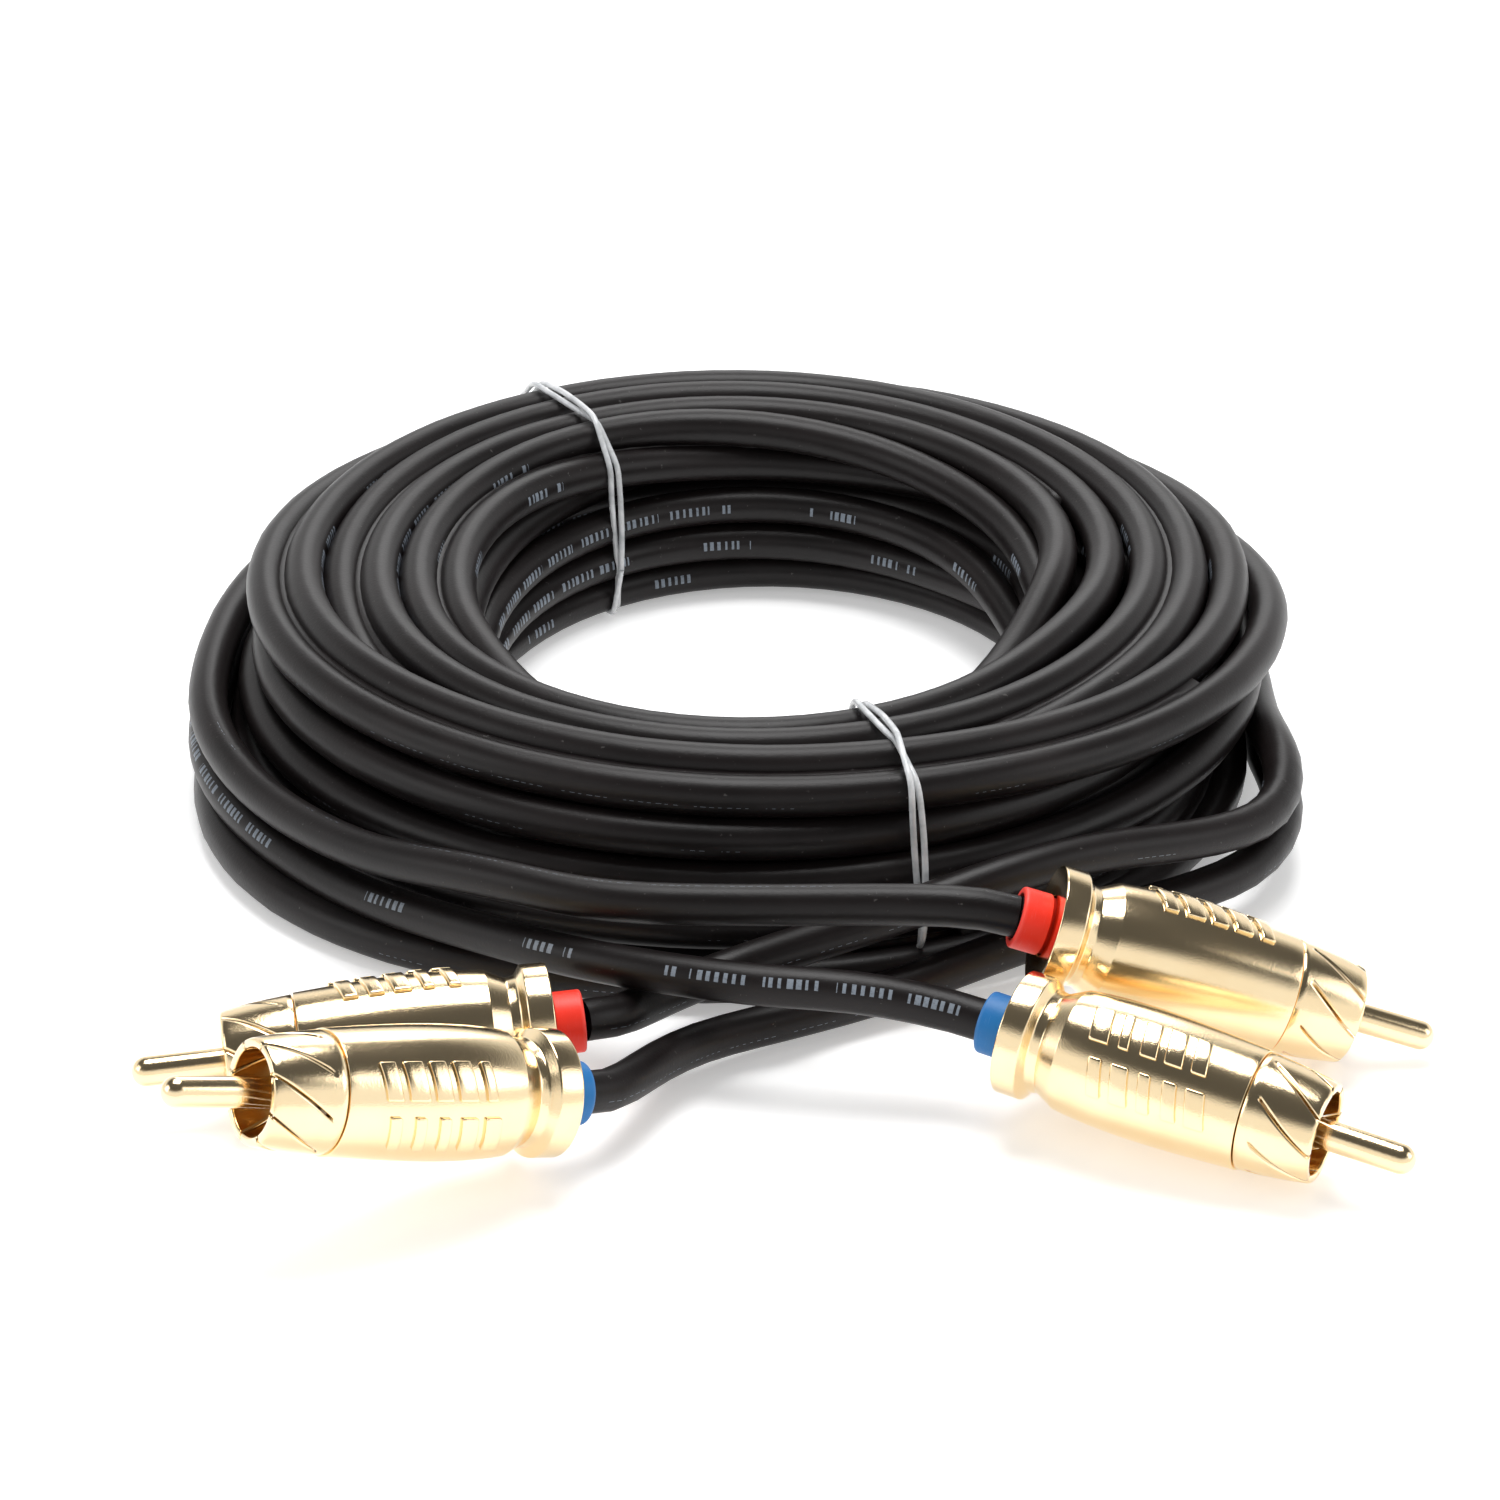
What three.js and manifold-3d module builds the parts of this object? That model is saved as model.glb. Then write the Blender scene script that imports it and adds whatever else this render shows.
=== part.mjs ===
// Two channel audio cable, coiled flat, with four gold plated phono plugs.
// Units are millimetres, +Z is up. The cable lies on the plane z = 0.
import * as THREE from 'three';
import { mergeVertices } from 'three/addons/utils/BufferGeometryUtils.js';
import Module from 'manifold-3d';

const wasm = await Module();
wasm.setup();

// Clearance kept between pieces that touch on the real cable
const clearance = 0.3;

// Points closer than this are one point
const mergeDistance = 1e-4;

// Coil: the outer shape of all its turns
const coilInnerRadius = 38.5;
const coilOuterRadius = 64;
const coilHeight = 24.2;
const coilInnerShoulder = 7;
const coilOuterShoulder = 10;
const coilFootRadius = 2.3;
const coilSegments = 56;
const shoulderSteps = 2;

// Twist ties
const tieWidth = 1.6;
const tieThickness = 0.8;
const tieLift = 0.3;
const tieCornerRadius = 0.6;
const tieAngles = { back_tie: 118.5, front_tie: -74.5 };

// Leads
const leadDiameter = 4.6;
const leadSides = 10;
const leadStep = 11;
const straightLead = 3.5;

// Plug lengths along its axis, from the cable end to the pin's nose
const ringLength = 3.4;
const flangeLength = 2.7;
const waistLength = 2.6;
const shoulderLength = 1.2;
const barrelLength = 20.2;
const noseLength = 7.8;
const pinReach = 9.7;

// Plug diameters
const flangeDiameter = 13.3;
const waistDiameter = 10.9;
const barrelRearDiameter = 13;
const barrelWidestDiameter = 13.9;
const barrelFrontDiameter = 12.9;
const noseRearDiameter = 12.6;
const noseMiddleDiameter = 11.8;
const rimDiameter = 10.8;
const rimBore = 8.9;
const sleeveTailDiameter = 11.2;
const sleeveTailLength = 7;
const pinDiameter = 3.2;
const ringDiameter = 6.7;
const ringSleeveWall = 0.45;
const ringSleeveLength = 5.6;
const shellChamberDiameter = 10.2;
const edge = 0.5;
const barrelCrownLength = 4;
const plugSegments = 24;
const ringSegments = 20;
const pinSegments = 16;
const wireSegments = 12;

// Slits in the ground sleeve
const slitCount = 8;
const slitWidth = 0.4;
const slitLength = 6.4;
const slitTurn = 46;

// Inner pieces of a plug
const insulatorLength = 5.5;
const insulatorInset = 7.4;
const pinTailLength = 5;
const solderCupBore = 2;
const solderCupDepth = 3.5;
const wireDiameter = 1.2;
const coreDiameter = 2.6;
const clampLength = 2.6;
const jacketPastClamp = 1.2;
const clampWall = 0.8;
const clampOpening = 70;
const clampSteps = 8;
const tongueWidth = 3;

// Stations along a plug's axis
const flangeRear = ringLength;
const flangeFront = flangeRear + flangeLength;
const waistFront = flangeFront + waistLength;
const barrelRear = waistFront + shoulderLength;
const barrelFront = barrelRear + barrelLength;
const rimStation = barrelFront + noseLength;
const tipStation = rimStation + pinReach;
const chamberRear = barrelRear + edge;
const clampRear = chamberRear + clearance;
const jacketFront = clampRear + clampLength + jacketPastClamp;
const sleeveTail = barrelFront - sleeveTailLength;
const insulatorFront = rimStation - insulatorInset;
const insulatorRear = insulatorFront - insulatorLength;
const pinRear = insulatorRear - pinTailLength;

// Radii that follow from other pieces
const leadRadius = leadDiameter / 2;
const ringBoreRadius = leadRadius + clearance;
const ringSleeveRadius = ringBoreRadius + ringSleeveWall;
const rearHoleRadius = ringSleeveRadius + clearance;
const sleeveBoreRadius = rimBore / 2;
const noseReach = noseRearDiameter / 2;
const threadRadius = sleeveTailDiameter / 2 + clearance;

// Each plug: where its cable end lies, the way it points, and the hand-chosen route of its lead.
// A place is [angle about the coil's centre in degrees, distance out from the coil's wall, height].
// On a route the last two are in lead diameters, and at a cable end they are in plug diameters.
const plugs = [
  {
    name: 'left_blue',
    colour: 'blue',
    cableEnd: [259.1, 2.62, 0.53],
    heading: 209,
    tilt: 16.1,
    route: [
      [336.8, 0.66, 1.59], [330.4, 1.57, 1.24], [322, 1.82, 1.09], [314, 1.31, 1.09], [303.3, 0.91, 1.17],
      [292.4, 0.95, 1], [282.3, 1.33, 0.63], [273, 2.33, 0.61], [265.2, 3.8, 0.74], [262.1, 5.75, 1.09],
    ],
  },
  {
    name: 'left_red',
    colour: 'red',
    cableEnd: [257.2, 1.61, 0.56],
    heading: 189.6,
    tilt: -2.2,
    route: [
      [336.4, 0.61, 2.65], [330.5, 1.55, 2.3], [323.4, 1.9, 2.17], [314.6, 1.2, 2.43], [303.5, 0.72, 2.87],
      [292.8, 0.75, 2.91], [282.7, 0.93, 2.43], [273.3, 0.96, 1.74], [264.4, 1.44, 1.09], [260.4, 2.97, 1.15],
    ],
  },
  {
    name: 'right_blue',
    colour: 'blue',
    cableEnd: [284.6, 2, 0.74],
    heading: 334.5,
    tilt: -6,
    route: [
      [190.6, 0.75, 1.57], [199.9, 0.95, 1.43], [212.6, 0.99, 1.24], [227.3, 1.15, 1.28], [244.5, 1.79, 1.74],
      [257.2, 3.23, 2.33], [269, 4.35, 2.61], [277, 4.92, 2.63],
    ],
  },
  {
    name: 'right_red',
    colour: 'red',
    cableEnd: [288.7, 1.37, 1.24],
    heading: 0.4,
    tilt: -18.5,
    route: [
      [190.9, 0.72, 2.65], [200.6, 0.91, 2.52], [213.1, 0.98, 2.35], [230.1, 1.26, 2.61], [244.7, 1.74, 3.26],
      [256.4, 2.35, 3.48], [268.9, 2.55, 3.7], [278.8, 3.11, 3.91],
    ],
  },
];

const gold = new THREE.MeshStandardMaterial({ color: 0xd8ae5c, roughness: 0.18, metalness: 1 });
const copper = new THREE.MeshStandardMaterial({ color: 0xb8734a, roughness: 0.4, metalness: 1 });
const jacket = new THREE.MeshStandardMaterial({ color: 0x17171a, roughness: 0.6, metalness: 0 });
const whitePlastic = new THREE.MeshStandardMaterial({ color: 0xe6e2d8, roughness: 0.5, metalness: 0 });
const clearPlastic = new THREE.MeshStandardMaterial({ color: 0xdfe3e6, roughness: 0.25, metalness: 0 });
const ringColours = {
  red: new THREE.MeshStandardMaterial({ color: 0xd8301e, roughness: 0.4, metalness: 0 }),
  blue: new THREE.MeshStandardMaterial({ color: 0x1466a8, roughness: 0.4, metalness: 0 }),
};

// Turns a closed geometry into a solid that can be cut or joined
function toSolid(geometry) {
  const bare = new THREE.BufferGeometry();
  bare.setAttribute('position', geometry.attributes.position);
  bare.setIndex(geometry.index);
  const merged = mergeVertices(bare, mergeDistance);
  return new wasm.Manifold(new wasm.Mesh({
    numProp: 3,
    vertProperties: Float32Array.from(merged.attributes.position.array),
    triVerts: Uint32Array.from(merged.index.array),
  }));
}

// Turns a solid back into a geometry
function toGeometry(solid) {
  const mesh = solid.getMesh();
  const geometry = new THREE.BufferGeometry();
  geometry.setAttribute('position', new THREE.BufferAttribute(mesh.vertProperties, 3));
  geometry.setIndex(new THREE.BufferAttribute(mesh.triVerts, 1));
  geometry.computeVertexNormals();
  return geometry;
}

// Turns a profile of [radius, station] points about the plug's axis, which is +Y
function turned(profile, segments) {
  const points = profile.map(([radius, station]) => new THREE.Vector2(radius, station));
  return new THREE.LatheGeometry(points, segments);
}

// A turned piece with a bore: its profile goes up the outside and closes on itself
function turnedTube(outside, inside, segments = plugSegments) {
  return turned([...outside, ...inside, outside[0]], segments);
}

// The coil's cross-section, grown by a margin, with its foot at a given height
function coilOutline(grow, foot, footRadius) {
  const left = coilInnerRadius - grow;
  const right = coilOuterRadius + grow;
  const top = coilHeight + grow;
  const innerShoulder = coilInnerShoulder + grow;
  const outerShoulder = coilOuterShoulder + grow;
  const quarter = Math.PI / 2;
  const outline = new THREE.Shape();
  outline.moveTo(left + footRadius, foot);
  outline.absarc(right - footRadius, foot + footRadius, footRadius, -quarter, 0);
  outline.absarc(right - outerShoulder, top - outerShoulder, outerShoulder, 0, quarter);
  outline.absarc(left + innerShoulder, top - innerShoulder, innerShoulder, quarter, 2 * quarter);
  outline.absarc(left + footRadius, foot + footRadius, footRadius, 2 * quarter, 3 * quarter);
  return outline;
}

// One ring for the coil, with a groove under each tie
function coilRing() {
  const profile = coilOutline(0, 0, coilFootRadius).getPoints(shoulderSteps);
  profile.push(profile[0].clone());
  const ring = new THREE.LatheGeometry(profile, coilSegments).rotateX(Math.PI / 2);
  let solid = toSolid(ring);
  const grooveTop = tieLift + tieThickness + clearance;
  const grooveWidth = tieWidth + 2 * clearance;
  const grooveReach = coilOuterRadius - coilInnerRadius + 2 * grooveTop;
  for (const angle of Object.values(tieAngles)) {
    const cutter = new THREE.BoxGeometry(grooveReach, grooveWidth, 2 * grooveTop);
    cutter.translate((coilInnerRadius + coilOuterRadius) / 2, 0, 0);
    cutter.rotateZ(THREE.MathUtils.degToRad(angle));
    solid = solid.subtract(toSolid(cutter));
  }
  return toGeometry(solid);
}

// A tie: a flat band closed round the coil's section
function tieBand(angle) {
  const outer = coilOutline(clearance + tieThickness, tieLift, tieCornerRadius + tieThickness);
  const inner = coilOutline(clearance, tieLift + tieThickness, tieCornerRadius);
  outer.holes.push(new THREE.Path(inner.getPoints(shoulderSteps)));
  const shape = { depth: tieWidth, bevelEnabled: false, curveSegments: shoulderSteps };
  const band = new THREE.ExtrudeGeometry(outer, shape);
  band.translate(0, 0, -tieWidth / 2);
  band.rotateX(Math.PI / 2);
  return band.rotateZ(THREE.MathUtils.degToRad(angle));
}

// The point at a place round the coil, whose distance out and height are in the given unit
function pointAt([angle, out, up], unit) {
  const turn = THREE.MathUtils.degToRad(angle);
  const radius = coilOuterRadius + out * unit;
  return new THREE.Vector3(radius * Math.cos(turn), radius * Math.sin(turn), up * unit);
}

// The point where a plug's lead enters its ring
function cablePoint(plug) {
  return pointAt(plug.cableEnd, barrelWidestDiameter);
}

// The unit vector from a plug's cable end to its pin
function plugDirection({ heading, tilt }) {
  const turn = THREE.MathUtils.degToRad(heading);
  const rise = THREE.MathUtils.degToRad(tilt);
  return new THREE.Vector3(Math.cos(rise) * Math.cos(turn), Math.cos(rise) * Math.sin(turn), Math.sin(rise));
}

// The tube of a lead, from the coil to just short of its plug's ring
function leadTube(plug) {
  const end = cablePoint(plug);
  const direction = plugDirection(plug);
  const points = plug.route.map((place) => pointAt(place, leadDiameter));
  points.push(end.clone().addScaledVector(direction, -straightLead));
  points.push(end.clone().addScaledVector(direction, -clearance));
  const route = new THREE.CatmullRomCurve3(points, false, 'centripetal');
  const corners = Array.from({ length: leadSides }, (_, side) => {
    const angle = (2 * Math.PI * side) / leadSides;
    return new THREE.Vector2(leadRadius * Math.cos(angle), leadRadius * Math.sin(angle));
  });
  const steps = Math.ceil(route.getLength() / leadStep);
  return new THREE.ExtrudeGeometry(new THREE.Shape(corners), { steps, extrudePath: route, bevelEnabled: false });
}

// Shell: flange, waist and barrel, turned in one piece and bored through
function shell() {
  const outside = [
    [flangeDiameter / 2 - edge, flangeRear],
    [flangeDiameter / 2, flangeRear + edge],
    [flangeDiameter / 2, flangeFront - edge],
    [waistDiameter / 2, flangeFront + edge],
    [waistDiameter / 2, waistFront],
    [barrelRearDiameter / 2, barrelRear],
    [barrelWidestDiameter / 2, barrelRear + barrelCrownLength],
    [barrelFrontDiameter / 2, barrelFront - edge],
    [barrelFrontDiameter / 2 - edge / 2, barrelFront],
  ];
  const inside = [
    [threadRadius, barrelFront],
    [threadRadius, sleeveTail - clearance],
    [shellChamberDiameter / 2, sleeveTail - clearance],
    [shellChamberDiameter / 2, chamberRear],
    [rearHoleRadius, chamberRear],
    [rearHoleRadius, flangeRear],
  ];
  return turnedTube(outside, inside);
}

// A thin slanted blade that cuts one slit, from just past the rim to the slit's end
function slitBlade(index) {
  const turn = THREE.MathUtils.degToRad(slitTurn);
  const wallRadius = (sleeveBoreRadius + noseMiddleDiameter / 2) / 2;
  const slant = Math.atan((wallRadius * turn) / slitLength);
  const length = slitLength + 2 * slitWidth;
  const blade = new THREE.BoxGeometry(slitWidth, length / Math.cos(slant), noseReach);
  blade.rotateZ(-slant);
  blade.translate(0, rimStation + slitWidth - slitLength / 2, noseReach / 2 + sleeveBoreRadius / 2);
  return blade.rotateY((2 * Math.PI * index) / slitCount - turn / 2);
}

// Ground sleeve: the slit nose that grips the jack, and the tail that the shell screws onto
function groundSleeve() {
  const nose = barrelFront + clearance;
  const outside = [
    [sleeveTailDiameter / 2, sleeveTail],
    [sleeveTailDiameter / 2, nose],
    [noseReach, nose],
    [noseMiddleDiameter / 2, nose + noseLength / 2],
    [rimDiameter / 2, rimStation - edge],
    [rimDiameter / 2 - edge / 2, rimStation],
  ];
  const inside = [
    [sleeveBoreRadius, rimStation],
    [sleeveBoreRadius, sleeveTail],
  ];
  let solid = toSolid(turnedTube(outside, inside));
  for (let index = 0; index < slitCount; index += 1) {
    solid = solid.subtract(toSolid(slitBlade(index)));
  }
  return toGeometry(solid);
}

// Centre pin: round nose, solid shank, and a solder cup open to the rear
function centrePin() {
  const radius = pinDiameter / 2;
  const cup = solderCupBore / 2;
  return turned([
    [0, pinRear + solderCupDepth],
    [cup, pinRear + solderCupDepth],
    [cup, pinRear],
    [radius, pinRear],
    [radius, tipStation - radius],
    [radius * Math.cos(Math.PI / 6), tipStation - radius / 2],
    [radius / 2, tipStation - radius * (1 - Math.cos(Math.PI / 6))],
    [0, tipStation],
  ], pinSegments);
}

// Insulator: the disc that holds the pin in the ground sleeve
function insulator() {
  const outer = sleeveBoreRadius - clearance;
  const hole = pinDiameter / 2 + clearance;
  return turnedTube([[outer, insulatorRear], [outer, insulatorFront]], [[hole, insulatorFront], [hole, insulatorRear]]);
}

// Colour ring: the part that shows, and a thin sleeve pushed into the shell's rear hole
function colourRing() {
  const outside = [
    [ringDiameter / 2 - edge, 0],
    [ringDiameter / 2, edge],
    [ringDiameter / 2, flangeRear - clearance],
    [ringSleeveRadius, flangeRear - clearance],
    [ringSleeveRadius, flangeRear + ringSleeveLength],
  ];
  const inside = [
    [ringBoreRadius, flangeRear + ringSleeveLength],
    [ringBoreRadius, 0],
  ];
  return turnedTube(outside, inside, ringSegments);
}

// Stripped end of the lead: jacket, core and the bare wire in the solder cup
function strippedEnd() {
  const coreFront = pinRear - clearance;
  const wireFront = pinRear + solderCupDepth - clearance;
  return turned([
    [0, 0],
    [leadRadius, 0],
    [leadRadius, jacketFront],
    [coreDiameter / 2, jacketFront],
    [coreDiameter / 2, coreFront],
    [wireDiameter / 2, coreFront],
    [wireDiameter / 2, wireFront],
    [0, wireFront],
  ], wireSegments);
}

// Ground lug: an open clamp round the jacket, with a tongue that reaches the sleeve
function groundLug() {
  const inner = leadRadius + clearance;
  const outer = inner + clampWall;
  const half = Math.PI - THREE.MathUtils.degToRad(clampOpening / 2);
  const arc = new THREE.Shape();
  arc.absarc(0, 0, outer, -half, half);
  arc.absarc(0, 0, inner, half, -half, true);
  const shape = { depth: clampLength, bevelEnabled: false, curveSegments: clampSteps };
  const clamp = new THREE.ExtrudeGeometry(arc, shape);
  clamp.rotateX(-Math.PI / 2).translate(0, clampRear, 0);
  const tongueLength = sleeveTail - clearance - clampRear;
  const tongue = new THREE.BoxGeometry(clampWall / 2, tongueLength, tongueWidth);
  tongue.translate(outer - clampWall / 2, clampRear + tongueLength / 2, 0);
  return toGeometry(toSolid(clamp).add(toSolid(tongue)));
}

function named(name, geometry, material) {
  const mesh = new THREE.Mesh(geometry, material);
  mesh.name = name;
  return mesh;
}

// One plug with its inner pieces, lying along +Y before it is turned into place
function buildPlug(plug) {
  const group = new THREE.Group();
  group.add(named(`${plug.name}_shell`, shell(), gold));
  group.add(named(`${plug.name}_ground_sleeve`, groundSleeve(), gold));
  group.add(named(`${plug.name}_centre_pin`, centrePin(), gold));
  group.add(named(`${plug.name}_insulator`, insulator(), whitePlastic));
  group.add(named(`${plug.name}_colour_ring`, colourRing(), ringColours[plug.colour]));
  group.add(named(`${plug.name}_ground_lug`, groundLug(), copper));
  group.add(named(`${plug.name}_stripped_end`, strippedEnd(), jacket));
  group.position.copy(cablePoint(plug));
  group.rotation.order = 'ZXY';
  group.rotation.z = THREE.MathUtils.degToRad(plug.heading - 90);
  group.rotation.x = THREE.MathUtils.degToRad(plug.tilt);
  return group;
}

// The whole cable, moved so that the origin is at the centre of its base
function buildCable() {
  const cable = new THREE.Group();
  cable.add(named('coil', coilRing(), jacket));
  for (const [name, angle] of Object.entries(tieAngles)) {
    cable.add(named(name, tieBand(angle), clearPlastic));
  }
  for (const plug of plugs) {
    cable.add(named(`${plug.name}_lead`, leadTube(plug), jacket));
    cable.add(buildPlug(plug));
  }
  const bounds = new THREE.Box3().setFromObject(cable, true);
  const centre = bounds.getCenter(new THREE.Vector3());
  cable.position.set(-centre.x, -centre.y, -bounds.min.z);
  return cable;
}

export default buildCable();
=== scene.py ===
"""Two channel audio cable: a coiled twin lead with four gold plated phono plugs."""

import math

import bmesh
import bpy
import numpy as np
from bpy.props import FloatProperty, FloatVectorProperty, IntProperty, PointerProperty
from mathutils import Matrix, Vector


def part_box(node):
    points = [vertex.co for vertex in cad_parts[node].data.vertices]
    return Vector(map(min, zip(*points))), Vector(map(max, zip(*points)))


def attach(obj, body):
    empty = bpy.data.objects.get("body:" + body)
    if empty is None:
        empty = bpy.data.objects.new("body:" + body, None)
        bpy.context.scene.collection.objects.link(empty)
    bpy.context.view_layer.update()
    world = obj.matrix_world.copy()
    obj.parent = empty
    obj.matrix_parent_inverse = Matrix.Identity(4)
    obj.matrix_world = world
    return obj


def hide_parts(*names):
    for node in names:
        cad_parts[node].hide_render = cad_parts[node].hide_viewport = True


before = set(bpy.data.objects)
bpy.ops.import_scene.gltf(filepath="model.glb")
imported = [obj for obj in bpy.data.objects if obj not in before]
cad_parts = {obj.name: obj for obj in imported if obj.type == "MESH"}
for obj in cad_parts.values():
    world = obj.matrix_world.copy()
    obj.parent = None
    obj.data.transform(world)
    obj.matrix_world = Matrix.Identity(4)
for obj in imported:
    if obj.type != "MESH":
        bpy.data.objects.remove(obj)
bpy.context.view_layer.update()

bl_info = {
    "name": "Coiled audio cable",
    "version": (1, 0, 0),
    "blender": (4, 5, 0),
    "location": "View3D > Sidebar > Audio cable",
    "description": "Makes a coiled two channel audio cable with four phono plugs",
    "category": "Object",
}

MM = 0.001

# The coil's place and reach, from its solid
COIL_LOW, COIL_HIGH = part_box("coil")
COIL_CENTRE = Vector(((COIL_LOW[0] + COIL_HIGH[0]) / 2, (COIL_LOW[1] + COIL_HIGH[1]) / 2, 0))
COIL_REACH = (COIL_HIGH[0] - COIL_LOW[0]) / 2

# Each plug: where its cable end lies, the way it points, and the route of its lead.
# A place is (angle about the coil's centre in degrees, distance out from the coil's wall, height).
# On a route the last two are in lead diameters, and at a cable end they are in plug diameters.
ROUTE_UNIT = 4.6 * MM
PLACE_UNIT = 13.9 * MM
PLUGS = {
    "left_blue": {
        "colour": "blue",
        "cable_end": (259.1, 2.62, 0.53),
        "heading": 209,
        "tilt": 16.1,
        "motif_turn": -78,
        "route": [
            (336.8, 0.31, 1.57), (330.4, 1.12, 1.28), (322, 1.5, 1.09), (314, 1.24, 1.09),
            (303.3, 0.91, 1.17), (292.4, 0.95, 1), (282.3, 1.33, 0.63), (273, 2.33, 0.61),
            (265.2, 3.8, 0.74), (262.1, 5.75, 1.09),
        ],
    },
    "left_red": {
        "colour": "red",
        "cable_end": (257.2, 1.61, 0.56),
        "heading": 189.6,
        "tilt": -2.2,
        "motif_turn": 28,
        "route": [
            (336.4, 0.26, 2.61), (330.5, 1.07, 2.3), (323.4, 1.52, 2.2), (314.6, 1.15, 2.43),
            (303.5, 0.72, 2.87), (292.8, 0.75, 2.91), (282.7, 0.93, 2.43), (273.3, 0.96, 1.74),
            (264.4, 1.44, 1.09), (260.4, 2.97, 1.15),
        ],
    },
    "right_blue": {
        "colour": "blue",
        "cable_end": (284.6, 2, 0.74),
        "heading": 334.5,
        "tilt": -6,
        "motif_turn": 50,
        "route": [
            (190.6, 0.75, 1.57), (199.9, 0.95, 1.43), (212.6, 0.99, 1.24), (227.3, 1.15, 1.28),
            (244.5, 1.79, 1.74), (257.2, 3.23, 2.33), (269, 4.35, 2.61), (277, 4.92, 2.63),
        ],
    },
    "right_red": {
        "colour": "red",
        "cable_end": (288.7, 1.37, 1.24),
        "heading": 0.4,
        "tilt": -18.5,
        "motif_turn": -24,
        "route": [
            (190.9, 0.72, 2.65), (200.6, 0.91, 2.52), (213.1, 0.98, 2.35), (230.1, 1.26, 2.61),
            (244.7, 1.74, 3.26), (256.4, 2.35, 3.48), (268.9, 2.55, 3.7), (278.8, 3.11, 3.91),
        ],
    },
}
STRAIGHT_LEAD = 3.5 * MM

# Stations along a plug's axis in millimetres, from the cable end to the pin's nose
FLANGE_REAR = 3.4
FLANGE_FRONT = 6.1
WAIST_FRONT = 8.7
BARREL_REAR = 9.9
BARREL_FRONT = 30.1
RIM = 37.9
TIP = 47.6

# Radii of a plug in millimetres
FLANGE_RADIUS = 6.65
WAIST_RADIUS = 5.45
BARREL_REAR_RADIUS = 6.5
BARREL_WIDEST_RADIUS = 6.95
BARREL_FRONT_RADIUS = 6.45
NOSE_RADIUS = 6.3
NOSE_MIDDLE_RADIUS = 5.95
RIM_RADIUS = 5.4
BORE_RADIUS = 4.45
TAIL_RADIUS = 5.6
TAIL_REAR = 23.1
CHAMBER_RADIUS = 5.1
CHAMBER_REAR = 10.4
REAR_HOLE_RADIUS = 3.35
PIN_RADIUS = 1.6
PIN_REAR = 20
RING_RADIUS = 3.35
RING_BORE_RADIUS = 2.6
RING_SLEEVE_RADIUS = 3.05
SLIT_COUNT = 8
SLIT_WIDTH = 0.4
SLIT_LENGTH = 6.4
SLIT_TURN = 46
MOTIF_SLANT = 0.18

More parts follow.
